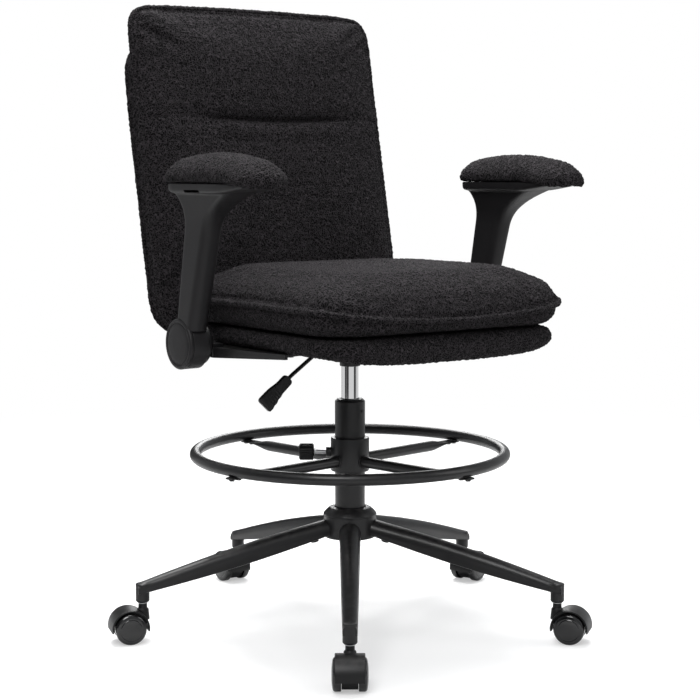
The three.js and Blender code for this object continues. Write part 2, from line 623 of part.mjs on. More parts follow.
const mirrored = (geometry) => closed(geometry.clone().scale(-1, 1, 1));

function buildArms() {
  const pieces = [
    ['bracket', armBracketGeometry(), blackSteel],
    ['pivot_pin', pivotPinGeometry(), zincSteel],
    ['hub', armHubGeometry(), greyPlastic],
    ['hub_cap', armCapGeometry(), greyPlastic],
    ['post', armPostGeometry(), greyPlastic],
    ['pad', armPadGeometry(), boucle],
  ];
  for (const [piece, geometry, material] of pieces) {
    add(`arm_left_${piece}`, closed(geometry), material);
    add(`arm_right_${piece}`, mirrored(geometry), material);
  }
}

// ---- casters ---------------------------------------------------------------------
// Each caster is made with its stem on the Z axis and its wheels trailing along +X.
function casterBodyGeometry() {
  const c = CASTER;
  const onAxle = (geometry) => geometry.rotateX(Math.PI / 2).translate(c.trail, 0, c.wheelRadius);
  const hood = onAxle(sleeve(c.hoodInner, c.hoodOuter, -c.hoodHalf, c.hoodHalf, 24));
  const web = onAxle(rod(c.webRadius, -c.webHalf, c.webHalf, 20));
  const rib = block(c.trail - 20, c.trail + 20, -c.webHalf, c.webHalf, c.wheelRadius, c.wheelRadius + 24);
  const below = block(-40, 80, -40, 40, -10, c.wheelRadius - 4);
  const cover = cut(join(hood, web, cut(rib, onAxle(sleeve(c.hoodInner + 1, 60, -30, 30, 24)))), below);
  const neck = rod(c.neckRadius, 37, c.neckTop, 14);
  const axle = onAxle(rod(c.axle, -c.treadOut - 1.5, c.treadOut + 1.5, 10));
  return cut(join(cover, neck, axle), rod(c.stemBore, STEM.bottom - 1, c.neckTop + 1, 12));
}

// Turned on the axle: [radius, distance from the caster's middle].
function wheelGeometry(side) {
  const c = CASTER;
  const corner = c.wheelRadius / Math.cos(Math.PI / WHEEL_SIDES);
  const wheel = turned([
    [0, c.wheelOut], [c.wheelRadius - 8, c.wheelOut - 0.8], [corner - 1.5, c.treadOut + 1.5],
    [corner, c.treadOut], [corner, c.wheelIn], [c.bore, c.wheelIn],
    [c.bore, c.treadOut + 2], [0, c.treadOut + 2],
  ], WHEEL_SIDES);
  return wheel.rotateZ(Math.PI / WHEEL_SIDES).rotateX((side * Math.PI) / 2)
    .translate(c.trail, 0, c.wheelRadius);
}

function stemGeometry() {
  const s = STEM;
  return turned([
    [0, s.bottom], [s.low, s.bottom], [s.low, s.ringBottom], [s.ringRadius, s.ringBottom],
    [s.ringRadius, s.ringTop], [s.high, s.ringTop], [s.high, s.top], [0, s.top],
  ], 12);
}

function buildCasters() {
  for (let n = 0; n < LEG_COUNT; n += 1) {
    const [dx, dy] = angleDirection(legAngle(n));
    const place = (geometry) => pointAt(geometry, legAngle(n))
      .translate(SOCKET.reach * dx, SOCKET.reach * dy, 0);
    const name = `caster_${n + 1}`;
    add(`${name}_stem`, place(stemGeometry()), zincSteel);
    add(`${name}_body`, place(casterBodyGeometry()), blackPlastic);
    add(`${name}_wheel_left`, place(wheelGeometry(1)), glossPlastic);
    add(`${name}_wheel_right`, place(wheelGeometry(-1)), glossPlastic);
  }
}

// ---- the whole chair -------------------------------------------------------------
buildBase();
buildLift();
buildFootRing();
buildMechanism();
buildSeat();
buildBack();
buildArms();
buildCasters();

// The origin is the middle of the chair's bounding box, on the floor.
const bounds = new THREE.Box3().setFromObject(chair);
const centre = bounds.getCenter(new THREE.Vector3());
chair.position.set(-centre.x, -centre.y, -bounds.min.z);

export default chair;
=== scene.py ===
"""Drafting chair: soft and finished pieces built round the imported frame.

Shapes are written in millimetres from the column's axis on the floor, with +Z up, the chair
facing -Y and the sitter's left at +X. to_frame turns them into metres in the frame.
"""

import math

import bmesh
import bpy
import numpy as np
from bpy.props import FloatProperty, FloatVectorProperty, PointerProperty
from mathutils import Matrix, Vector
from mathutils.bvhtree import BVHTree


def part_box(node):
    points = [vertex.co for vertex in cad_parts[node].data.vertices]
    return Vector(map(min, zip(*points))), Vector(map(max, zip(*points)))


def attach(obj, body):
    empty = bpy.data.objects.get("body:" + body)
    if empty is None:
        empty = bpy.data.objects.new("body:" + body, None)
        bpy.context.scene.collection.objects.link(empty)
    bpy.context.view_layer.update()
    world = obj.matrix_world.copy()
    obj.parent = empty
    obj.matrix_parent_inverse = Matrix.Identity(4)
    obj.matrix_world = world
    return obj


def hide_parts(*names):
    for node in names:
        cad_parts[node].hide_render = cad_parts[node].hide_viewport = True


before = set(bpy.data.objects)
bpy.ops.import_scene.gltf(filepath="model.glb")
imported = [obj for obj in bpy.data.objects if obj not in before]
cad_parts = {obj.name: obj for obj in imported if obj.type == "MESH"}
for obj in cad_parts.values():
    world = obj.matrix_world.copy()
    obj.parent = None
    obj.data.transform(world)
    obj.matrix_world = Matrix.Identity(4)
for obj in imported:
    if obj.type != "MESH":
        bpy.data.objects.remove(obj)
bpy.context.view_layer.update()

bl_info = {
    "name": "Drafting chair",
    "version": (1, 0, 0),
    "blender": (4, 5, 0),
    "location": "View3D > Sidebar > Chair",
    "description": "Builds the cushions, covers and finishes of a drafting chair",
    "category": "Add Mesh",
}

MM = 0.001

# ---- places taken from the frame --------------------------------------------------
HUB_LOW, HUB_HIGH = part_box("base_hub")
AXIS = Vector(((HUB_LOW.x + HUB_HIGH.x) / 2, (HUB_LOW.y + HUB_HIGH.y) / 2, 0.0))
LEGS = 5
LEG_TURNS = [180 + 360 * n / LEGS for n in range(LEGS)]
SPOKE_TURNS = [9, 99, 189, 279]
SOCKET_REACH = 352.0
KNOB_TURN = -126
BACK_LEAN = math.radians(11.3)
BACK_FOOT = (186.0, 480.0)
PIVOT = (31.0, 487.0)


# ---- user settings ----------------------------------------------------------------
class CHAIR_PG_fabric(bpy.types.PropertyGroup):
    """The curly fabric on every padded piece."""
    # The dark side colour is painted shade between the curls; the tip colour is painted light on their tops.
    colour: FloatVectorProperty(name="Colour", description="Colour of the loops' sides", size=3,
                                subtype="COLOR", default=(0.0030, 0.0027, 0.0031))
    tip_colour: FloatVectorProperty(name="Tip colour", description="Colour of the loops' tops", size=3,
                                    subtype="COLOR", default=(0.0385, 0.0338, 0.0375))
    loop_size: FloatProperty(name="Loop size", description="Size of one curl of yarn",
                             default=0.0042, unit="LENGTH")
    loop_height: FloatProperty(name="Loop height", description="How far the curls stand up",
                               default=0.0016, unit="LENGTH")
    welt_radius: FloatProperty(name="Welt radius", description="Radius of the rolled edge seam",
                               default=0.0046, unit="LENGTH")


class CHAIR_PG_finishes(bpy.types.PropertyGroup):
    """The hard finishes."""
    steel: FloatVectorProperty(name="Powder coat", description="Colour of the coated steel", size=3,
                               subtype="COLOR", default=(0.0055, 0.0053, 0.0058))
    arm_plastic: FloatVectorProperty(name="Arm plastic", description="Colour of the moulded arms",
                                     size=3, subtype="COLOR", default=(0.0102, 0.0096, 0.0104))
    wheel_plastic: FloatVectorProperty(name="Wheel plastic", description="Colour of the wheels",
                                       size=3, subtype="COLOR", default=(0.0035, 0.0035, 0.0038))


class CHAIR_PG_view(bpy.types.PropertyGroup):
    """The stage and the camera."""
    distance: FloatProperty(name="Distance", description="Camera to column, along the floor",
                            default=2.7684, unit="LENGTH")
    height: FloatProperty(name="Height", description="Camera height", default=0.7563, unit="LENGTH")
    pitch: FloatProperty(name="Pitch", description="Downward tilt of the camera",
                         default=math.radians(6.085), subtype="ANGLE")
    turn: FloatProperty(name="Turn", description="Camera's place round the chair",
                        default=math.radians(-36), subtype="ANGLE")
    lens: FloatProperty(name="Lens", description="Focal length in millimetres", default=86.55)


# ---- points and outlines ----------------------------------------------------------
def to_frame(points):
    """Millimetres from the column's axis to metres in the frame."""
    return np.asarray(points, float).reshape(-1, 3) * MM + np.array(AXIS)


def mix(a, b, t):
    return a + (b - a) * t


def smooth(value, low, high):
    t = np.clip((value - low) / (high - low), 0, 1)
    return t * t * (3 - 2 * t)


def turned(points, degrees):
    """Turns points made along +X to face an angle measured from the front."""
    a = math.radians(degrees - 90)
    p = np.asarray(points, float).reshape(-1, 3)
    x = p[:, 0] * math.cos(a) - p[:, 1] * math.sin(a)
    y = p[:, 0] * math.sin(a) + p[:, 1] * math.cos(a)
    return np.column_stack([x, y, p[:, 2]])


def moved(points, offset):
    return np.asarray(points, float).reshape(-1, 3) + np.asarray(offset, float)


def outward(degrees, reach):
    """The point at a reach from the axis, at an angle measured from the front."""
    a = math.radians(degrees)
    return reach * math.sin(a), -reach * math.cos(a)


def rounded(points, radius, steps=5, closed=False):
    """Rounds the corners of a flat outline with arcs."""
    result = []
    count = len(points)
    for i, point in enumerate(points):
        here = Vector(point)
        if not closed and i in (0, count - 1):
            result.append(tuple(here))
            continue
        before, after = Vector(points[i - 1]), Vector(points[(i + 1) % count])
        one, two = (before - here), (after - here)
        reach = min(radius, one.length * 0.45, two.length * 0.45)
        start, end = here + one.normalized() * reach, here + two.normalized() * reach
        for k in range(steps + 1):
            t = k / steps
            result.append(tuple(start * (1 - t) ** 2 + here * 2 * t * (1 - t) + end * t ** 2))
    return result


def round_rectangle(x0, x1, y0, y1, corner, steps=8, bow=0.0):
    """Closed outline with four round corners; bow lifts the middle of the far edge."""
    points = []
    centres = [(x1 - corner, y1 - corner), (x0 + corner, y1 - corner),
               (x0 + corner, y0 + corner), (x1 - corner, y0 + corner)]
    for quarter, (cx, cy) in enumerate(centres):
        for k in range(steps + 1):
            a = (quarter + k / steps) * math.pi / 2
            points.append((cx + corner * math.cos(a), cy + corner * math.sin(a)))
    points = even_outline(points, 6.0)
    middle = (x0 + x1) / 2
    lift = bow * (1 - ((points[:, 0] - middle) / ((x1 - x0) / 2)) ** 2) - bow
    points[:, 1] += lift * smooth(points[:, 1], mix(y0, y1, 0.6), y1)
    return points


def even_outline(points, step):
    """The same closed outline with points at an even spacing."""
    p = np.asarray(points, float)
    ring = np.vstack([p, p[:1]])
    lengths = np.linalg.norm(np.diff(ring, axis=0), axis=1)
    along = np.concatenate([[0], np.cumsum(lengths)])
    count = int(round(along[-1] / step / 4)) * 4
    places = np.linspace(0, along[-1], count, endpoint=False)
    return np.column_stack([np.interp(places, along, ring[:, k]) for k in range(p.shape[1])])


# ---- closed shapes, as (points, faces) --------------------------------------------
def skin(rows, ring=False):
    """Joins a stack of matching closed loops; the ends are capped, or joined in a ring."""
    rows = np.asarray(rows, float)
    total, count = rows.shape[:2]
    faces = []
    for r in range(total if ring else total - 1):
        for i in range(count):
            a, b = r * count + i, r * count + (i + 1) % count
            c, d = ((r + 1) % total) * count + (i + 1) % count, ((r + 1) % total) * count + i
            faces.append((a, b, c, d))
    if not ring:
        faces.append(tuple(range(count - 1, -1, -1)))
        faces.append(tuple(range((total - 1) * count, total * count)))
    return rows.reshape(-1, 3), faces


def lathe(profile, segments=72, round_off=0.0, steps=4):
    """Turned shape on the Z axis; the profile is [radius, height] points."""
    if round_off:
        profile = rounded(profile, round_off, steps)
    rows = []
    for k in range(segments):
        a = 2 * math.pi * k / segments
        rows.append([(r * math.cos(a), r * math.sin(a), z) for r, z in profile])
    rows = np.asarray(rows, float)
    count = rows.shape[1]
    faces = []
    for k in range(segments):
        for i in range(count - 1):
            a, d = k * count + i, ((k + 1) % segments) * count + i
            faces.append((a, d, d + 1, a + 1))
    return rows.reshape(-1, 3), faces


def box_shape(x0, x1, y0, y1, z0, z1, edge=1.0, steps=3):
    """A box with rounded edges."""
    mesh = bmesh.new()
    bmesh.ops.create_cube(mesh, size=1)
    for v in mesh.verts:
        v.co = Vector((mix(x0, x1, v.co.x + 0.5), mix(y0, y1, v.co.y + 0.5), mix(z0, z1, v.co.z + 0.5)))
    bmesh.ops.bevel(mesh, geom=mesh.edges[:], offset=edge, segments=steps, profile=0.5, affect="EDGES")
    shape = np.array([v.co[:] for v in mesh.verts]), [tuple(v.index for v in f.verts) for f in mesh.faces]
    mesh.free()
    return shape


def along_x(shape):
    """Turns a shape made on the Z axis to lie along +X."""
    points, faces = shape
    p = np.asarray(points)
    return np.column_stack([p[:, 2], p[:, 1], -p[:, 0]]), faces


def shifted(shape, offset):
    return moved(shape[0], offset), shape[1]


def facing(shape, degrees):
    return turned(shape[0], degrees), shape[1]


# ---- making objects ---------------------------------------------------------------
def mesh_object(name, *shapes, at_axis=True):
    """One object from shapes in millimetres, with merged points and faces outwards."""
    points, faces = [], []
    for shape_points, shape_faces in shapes:
        base = sum(len(p) for p in points)
        points.append(np.asarray(shape_points, float).reshape(-1, 3))
        faces += [tuple(i + base for i in face) for face in shape_faces]
    points = np.vstack(points)
    mesh = bpy.data.meshes.new(name)
    mesh.from_pydata((to_frame(points) if at_axis else points * MM).tolist(), [], faces)
    tidy(mesh)
    obj = bpy.data.objects.new(name, mesh)
    bpy.context.scene.collection.objects.link(obj)
    return obj


def tidy(mesh):
    """Merges doubled points and turns the faces outwards."""
    work = bmesh.new()
    work.from_mesh(mesh)
    bmesh.ops.remove_doubles(work, verts=work.verts[:], dist=1e-6)
    bmesh.ops.dissolve_degenerate(work, edges=work.edges[:], dist=1e-7)
    bmesh.ops.recalc_face_normals(work, faces=work.faces[:])
    work.to_mesh(mesh)
    work.free()
    mesh.update()


def bake(obj):
    """Applies every modifier and leaves a plain mesh."""
    bpy.context.view_layer.update()
    graph = bpy.context.evaluated_depsgraph_get()
    result = bpy.data.meshes.new_from_object(obj.evaluated_get(graph))
    old = obj.data
    obj.modifiers.clear()
    obj.data = result
    bpy.data.meshes.remove(old)
    return obj


def boolean(obj, operation, *tools):
    """Joins tools to a piece or cuts them out of it, and removes the tools."""
    for tool in tools:
        step = obj.modifiers.new("boolean", "BOOLEAN")
        step.operation = operation
        step.solver = "EXACT"
        step.object = tool
    bake(obj)
    for tool in tools:
        bpy.data.objects.remove(tool)
    return obj


def smooth_shade(obj, angle=35):
    mesh = obj.data
    mesh.shade_smooth()
    mesh.set_sharp_from_angle(angle=math.radians(angle))


def finish_piece(obj, body, slot, *nodes, angle=35):
    """Shades a piece, gives it its finish and makes it ride on its body."""
    obj.data.materials.clear()
    obj.data.materials.append(material(slot))
    smooth_shade(obj, angle)
    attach(obj, body)
    if nodes:
        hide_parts(*nodes)
    return obj


def mirrored_copy(obj, name):
    """The same piece for the sitter's right."""
    twin = bpy.data.objects.new(name, obj.data.copy())
    bpy.context.scene.collection.objects.link(twin)
    work = bmesh.new()
    work.from_mesh(twin.data)
    for v in work.verts:
        v.co.x = -v.co.x
    bmesh.ops.reverse_faces(work, faces=work.faces[:])
    work.to_mesh(twin.data)
    work.free()
    return twin


# ---- node trees -------------------------------------------------------------------
class Nodes:
    """Adds and joins nodes in one tree."""

    def __init__(self, tree):
        self.tree = tree

    def add(self, kind, inputs=None, **settings):
        node = self.tree.nodes.new(kind)
        for name, value in settings.items():
            setattr(node, name, value)
        for key, value in (inputs or {}).items():
            if isinstance(value, bpy.types.NodeSocket):
                self.tree.links.new(value, node.inputs[key])
            else:
                node.inputs[key].default_value = value
        return node

    def math(self, operation, a, b=0.0, c=0.0):
        return self.add("ShaderNodeMath", {0: a, 1: b, 2: c}, operation=operation).outputs[0]

    def vector(self, operation, a, b):
        node = self.add("ShaderNodeVectorMath", {0: a}, operation=operation)
        key = 3 if operation == "SCALE" else 1
        if isinstance(b, bpy.types.NodeSocket):
            self.tree.links.new(b, node.inputs[key])
        else:
            node.inputs[key].default_value = b
        return node.outputs[0]

    def ramp(self, value, low, high, start=0.0, end=1.0):
        node = self.add("ShaderNodeMapRange", {"Value": value, "From Min": low, "From Max": high,
                                               "To Min": start, "To Max": end},
                        interpolation_type="SMOOTHSTEP")
        return node.outputs["Result"]

    def colour_mix(self, factor, a, b):
        node = self.add("ShaderNodeMix", {"Factor": factor}, data_type="RGBA")
        for key, value in (("A_Color", a), ("B_Color", b)):
            socket = next(s for s in node.inputs if s.identifier == key)
            if isinstance(value, bpy.types.NodeSocket):
                self.tree.links.new(value, socket)
            else:
                socket.default_value = value
        return next(s for s in node.outputs if s.identifier == "Result_Color")


def new_tree(name, kind, inputs, outputs):
    """A node group with named sockets; returns its Nodes, its input node and its output node."""
    tree = bpy.data.node_groups.new(name, kind)
    for direction, sockets in (("INPUT", inputs), ("OUTPUT", outputs)):
        for label, socket_type, *default in sockets:
            socket = tree.interface.new_socket(name=label, in_out=direction,
                                               socket_type=f"NodeSocket{socket_type}")
            if default:
                socket.default_value = default[0]
    nodes = Nodes(tree)
    return nodes, nodes.add("NodeGroupInput"), nodes.add("NodeGroupOutput")


def wool(n, geometry, size, height):
    """Moves points out into curls of yarn and stores how far each one stands up."""
    place = n.add("GeometryNodeInputPosition").outputs[0]
    per_metre = n.math("DIVIDE", 1.0, size)
    warp = n.add("ShaderNodeTexNoise", {"Vector": place, "Scale": n.math("MULTIPLY", per_metre, 0.9),
                                        "Detail": 1.0})
    swing = n.vector("SCALE", n.vector("SUBTRACT", warp.outputs["Color"], (0.5, 0.5, 0.5)),
                     n.math("MULTIPLY", size, 1.3))
    cells = n.add("ShaderNodeTexVoronoi", {"Vector": n.vector("ADD", place, swing), "Scale": per_metre,
                                           "Randomness": 1.0})
    curl = n.ramp(cells.outputs["Distance"], 0.12, 0.72, 1.0, 0.0)
    drift = n.add("ShaderNodeTexNoise", {"Vector": place, "Scale": n.math("MULTIPLY", per_metre, 0.22)})
    patch = n.ramp(drift.outputs[0], 0.3, 0.7, 0.85, 1.0)
    pile = n.math("MULTIPLY", curl, patch)
    rise = n.math("MULTIPLY", n.math("SUBTRACT", pile, 0.4), height)
    normal = n.add("GeometryNodeInputNormal").outputs[0]
    step = n.add("GeometryNodeSetPosition", {"Geometry": geometry,
                                             "Offset": n.vector("SCALE", normal, rise)})
    keep = n.add("GeometryNodeStoreNamedAttribute", {"Geometry": step.outputs[0], "Name": "pile",
                                                     "Value": pile}, data_type="FLOAT", domain="POINT")
    return keep.outputs[0]


def finish_tree(n, geometry, material, output):
    """Ends a tree: real geometry with its material."""
    real = n.add("GeometryNodeRealizeInstances", {"Geometry": geometry}).outputs[0]
    last = n.add("GeometryNodeSetMaterial", {"Geometry": real, "Material": material})
    n.tree.links.new(last.outputs[0], output.inputs[0])


def pile_tree():
    n, start, end = new_tree("Yarn pile", "GeometryNodeTree",
                             [("Geometry", "Geometry"), ("Loop size", "Float", 0.005),
                              ("Loop height", "Float", 0.002), ("Material", "Material")],
                             [("Geometry", "Geometry")])
    o = start.outputs
    finish_tree(n, wool(n, o["Geometry"], o["Loop size"], o["Loop height"]), o["Material"], end)
    return n.tree


def welt_tree():
    """A rolled seam swept along the edges of its mesh."""
    n, start, end = new_tree("Welt", "GeometryNodeTree",
                             [("Path", "Geometry"), ("Radius", "Float", 0.0045),
                              ("Step", "Float", 0.002), ("Loop size", "Float", 0.005),
                              ("Loop height", "Float", 0.001), ("Material", "Material")],
                             [("Geometry", "Geometry")])
    o = start.outputs
    curve = n.add("GeometryNodeMeshToCurve", {"Mesh": o["Path"]}).outputs[0]
    even = n.add("GeometryNodeResampleCurve", {"Curve": curve, "Length": o["Step"]}, mode="LENGTH")
    section = n.add("GeometryNodeCurvePrimitiveCircle", {"Resolution": 12, "Radius": o["Radius"]})
    swept = n.add("GeometryNodeCurveToMesh", {"Curve": even.outputs[0],
                                              "Profile Curve": section.outputs[0], "Fill Caps": True})
    finish_tree(n, wool(n, swept.outputs[0], o["Loop size"], o["Loop height"]), o["Material"], end)
    return n.tree


def stud_tree():
    """Puts a short bar with a wider foot on every point, along the point's aim."""
    n, start, end = new_tree("Studs", "GeometryNodeTree",
                             [("Points", "Geometry"), ("Sides", "Int", 6), ("Radius", "Float", 0.004),
                              ("Height", "Float", 0.003), ("Foot radius", "Float", 0.005),
                              ("Foot height", "Float", 0.0008), ("Material", "Material")],
                             [("Geometry", "Geometry")])
    o = start.outputs
    half = n.math("MULTIPLY", o["Height"], 0.5)
    bar = n.add("GeometryNodeMeshCylinder", {"Vertices": o["Sides"], "Radius": o["Radius"],
                                             "Depth": o["Height"]})
    foot = n.add("GeometryNodeMeshCylinder", {"Vertices": 20, "Radius": o["Foot radius"],
                                              "Depth": o["Foot height"]})
    lift = n.add("ShaderNodeCombineXYZ", {"Z": half}).outputs[0]
    raised = n.add("GeometryNodeTransform", {"Geometry": bar.outputs[0], "Translation": lift})
    both = n.add("GeometryNodeJoinGeometry")
    n.tree.links.new(raised.outputs[0], both.inputs[0])
    n.tree.links.new(foot.outputs[0], both.inputs[0])
    points = n.add("GeometryNodeMeshToPoints", {"Mesh": o["Points"]})
    aim = n.add("GeometryNodeInputNamedAttribute", {"Name": "aim"}, data_type="FLOAT_VECTOR")
    turn = n.add("FunctionNodeAlignRotationToVector", {"Vector": aim.outputs[0]}, axis="Z")
    placed = n.add("GeometryNodeInstanceOnPoints", {"Points": points.outputs[0],
                                                    "Instance": both.outputs[0],
                                                    "Rotation": turn.outputs[0]})
    finish_tree(n, placed.outputs[0], o["Material"], end)
    return n.tree


TREES = {"Yarn pile": pile_tree, "Welt": welt_tree, "Studs": stud_tree}


def grow(obj, tree_name, **inputs):
    """Runs a Geometry Nodes tree on an object and keeps the result as a plain mesh."""
    tree = bpy.data.node_groups.get(tree_name) or TREES[tree_name]()
    step = obj.modifiers.new(tree_name, "NODES")
    step.node_group = tree
    for item in tree.interface.items_tree:
        if item.in_out == "INPUT" and item.name in inputs:
            step[item.identifier] = inputs[item.name]
    return bake(obj)


def studs(name, body, slot, places, sides, radius, height, foot):
    """Bolts, screws, ribs or thread ridges as one piece; places are (point, aim) pairs.

    All sizes are in millimetres, and foot is the radius and height of the disc at each place.
    """
    mesh = bpy.data.meshes.new(name)
    mesh.from_pydata(to_frame([p for p, _ in places]).tolist(), [], [])
    aims = mesh.attributes.new("aim", "FLOAT_VECTOR", "POINT")
    aims.data.foreach_set("vector", np.asarray([a for _, a in places], float).ravel())
    obj = bpy.data.objects.new(name, mesh)
    bpy.context.scene.collection.objects.link(obj)
    grow(obj, "Studs", Material=material(slot), Sides=sides, Radius=radius * MM, Height=height * MM,
         **{"Foot radius": foot[0] * MM, "Foot height": foot[1] * MM})
    return finish_piece(obj, body, slot)


def path_object(name, points, closed):
    """A mesh of edges only, for a sweep."""
    count = len(points)
    edges = [(i, (i + 1) % count) for i in range(count if closed else count - 1)]
    mesh = bpy.data.meshes.new(name)
    mesh.from_pydata(to_frame(points).tolist(), edges, [])
    obj = bpy.data.objects.new(name, mesh)
    bpy.context.scene.collection.objects.link(obj)
    return obj


# ---- materials --------------------------------------------------------------------
def grain_tree():
    """Fine mottling of a coated or moulded surface: a normal and a roughness."""
    n, start, end = new_tree("Surface grain", "ShaderNodeTree",
                             [("Grain size", "Float", 0.0006), ("Depth", "Float", 0.3),
                              ("Roughness", "Float", 0.4), ("Spread", "Float", 0.1)],
                             [("Normal", "Vector"), ("Roughness", "Float")])
    o = start.outputs
    place = n.add("ShaderNodeTexCoord").outputs["Object"]
    scale = n.math("DIVIDE", 1.0, o["Grain size"])
    fine = n.add("ShaderNodeTexNoise", {"Vector": place, "Scale": scale, "Detail": 3.0})
    bump = n.add("ShaderNodeBump", {"Strength": o["Depth"], "Distance": 0.0004, "Height": fine.outputs[0]})
    broad = n.add("ShaderNodeTexNoise", {"Vector": place, "Scale": 22.0, "Detail": 4.0})
    shift = n.math("MULTIPLY", n.math("SUBTRACT", broad.outputs[0], 0.5), o["Spread"])
    n.tree.links.new(bump.outputs[0], end.inputs[0])
    n.tree.links.new(n.math("ADD", o["Roughness"], shift), end.inputs[1])
    return n.tree


def dust_tree():
    """Thin dust on faces that look up, as a mask."""
    n, start, end = new_tree("Dust", "ShaderNodeTree", [("Amount", "Float", 0.1)], [("Mask", "Float")])
    up = n.add("ShaderNodeSeparateXYZ", {0: n.add("ShaderNodeNewGeometry").outputs["Normal"]}).outputs[2]
    place = n.add("ShaderNodeTexCoord").outputs["Object"]
    spots = n.add("ShaderNodeTexNoise", {"Vector": place, "Scale": 90.0, "Detail": 5.0})
    lit = n.math("MULTIPLY", n.ramp(up, 0.2, 1.0), n.ramp(spots.outputs[0], 0.35, 0.75))
    n.tree.links.new(n.math("MULTIPLY", lit, start.outputs[0]), end.inputs[0])
    return n.tree


def yarn_tree():
    """Curled yarn: a painted lightness, with painted shade between the strands and painted highlight on their
    tops, and its normal. Strands follow the level lines of noise.
    """
    n, start, end = new_tree("Curled yarn", "ShaderNodeTree",
                             [("Loop size", "Float", 0.005), ("Depth", "Float", 1.0)],
                             [("Lightness", "Float"), ("Normal", "Vector")])
    o = start.outputs
    place = n.add("ShaderNodeTexCoord").outputs["Object"]
    scale = n.math("DIVIDE", 1.0, o["Loop size"])
    height = None
    for seed, level in ((0.0, 1.0), (3.7, 0.8)):
        field = n.add("ShaderNodeTexNoise", {"Vector": n.vector("ADD", place, (seed, seed, seed)),
                                             "Scale": scale, "Detail": 0.0})
        off = n.math("ABSOLUTE", n.math("SUBTRACT", field.outputs[0], 0.5))
        strand = n.ramp(off, 0.0, 0.12, level, 0.0)
        height = strand if height is None else n.math("MAXIMUM", height, strand)
    fine = n.math("MULTIPLY", scale, 5.0)
    fuzz = n.add("ShaderNodeTexNoise", {"Vector": place, "Scale": fine, "Detail": 2.0})
    height = n.math("MULTIPLY_ADD", fuzz.outputs[0], 0.22, height)
    bump = n.add("ShaderNodeBump", {"Strength": o["Depth"], "Distance": 0.0034, "Height": height})
    pile = n.add("ShaderNodeAttribute", attribute_name="pile").outputs["Fac"]
    # Painted shade: gaps between strands and points low in the pile turn darker, strand tops lighter.
    light = n.math("MULTIPLY", n.ramp(height, 0.25, 1.05, 0.0, 1.0), n.ramp(pile, 0.0, 0.7, 0.7, 1.0))
    n.tree.links.new(light, end.inputs[0])
    n.tree.links.new(bump.outputs[0], end.inputs[1])
    return n.tree


SHADER_TREES = {"Surface grain": grain_tree, "Dust": dust_tree, "Curled yarn": yarn_tree}


def use_group(n, name, **inputs):
    tree = bpy.data.node_groups.get(name) or SHADER_TREES[name]()
    node = n.add("ShaderNodeGroup", node_tree=tree)
    for key, value in inputs.items():
        node.inputs[key.replace("_", " ")].default_value = value
    return node


def start_material(name):
    made = bpy.data.materials.new(name)
    made.use_nodes = True
    n = Nodes(made.node_tree)
    return made, n, made.node_tree.nodes["Principled BSDF"]


def opaque(colour):
    return (colour[0], colour[1], colour[2], 1.0)


def hard_material(name, colour, roughness, metallic=0.0, specular=0.5, coat=0.0, grain=0.0006,
                  depth=0.25, spread=0.1, dust=0.08):
    """Coated, moulded or plated surface with fine grain and a trace of dust."""
    made, n, shader = start_material(name)
    surface = use_group(n, "Surface grain", Grain_size=grain, Depth=depth, Roughness=roughness,
                        Spread=spread)
    cover = use_group(n, "Dust", Amount=dust)
    base = n.colour_mix(cover.outputs[0], opaque(colour), (0.22, 0.21, 0.20, 1.0))
    n.tree.links.new(base, shader.inputs["Base Color"])
    n.tree.links.new(surface.outputs["Normal"], shader.inputs["Normal"])
    n.tree.links.new(surface.outputs["Roughness"], shader.inputs["Roughness"])
    shader.inputs["Metallic"].default_value = metallic
    shader.inputs["Specular IOR Level"].default_value = specular
    shader.inputs["Coat Weight"].default_value = coat
    shader.inputs["Coat Roughness"].default_value = 0.12
    return made


def fabric_material(name):
    """Curly wool-like fabric."""
    fabric = bpy.context.scene.chair_fabric
    made, n, shader = start_material(name)
    yarn = use_group(n, "Curled yarn", Loop_size=fabric.loop_size, Depth=0.9)
    # Painted shade in the gaps between curls from the dark colour, painted highlight on their tops from the
    # tip colour.
    colour = n.colour_mix(yarn.outputs["Lightness"], opaque(fabric.colour), opaque(fabric.tip_colour))
    n.tree.links.new(colour, shader.inputs["Base Color"])
    n.tree.links.new(yarn.outputs["Normal"], shader.inputs["Normal"])
    shader.inputs["Roughness"].default_value = 0.85
    shader.inputs["Specular IOR Level"].default_value = 0.06
    shader.inputs["Sheen Weight"].default_value = 0.025
    shader.inputs["Sheen Roughness"].default_value = 0.45
    return made


def wood_material(name):
    """Plies of the hidden boards."""
    made, n, shader = start_material(name)
    place = n.add("ShaderNodeTexCoord").outputs["Object"]
    long_way = n.add("ShaderNodeMapping", {"Vector": place, "Scale": (1.0, 9.0, 60.0)}).outputs[0]
    rings = n.add("ShaderNodeTexNoise", {"Vector": long_way, "Scale": 12.0, "Detail": 6.0})
    tone = n.colour_mix(rings.outputs[0], (0.30, 0.17, 0.08, 1.0), (0.52, 0.34, 0.18, 1.0))
    n.tree.links.new(tone, shader.inputs["Base Color"])
    shader.inputs["Roughness"].default_value = 0.7
    return made


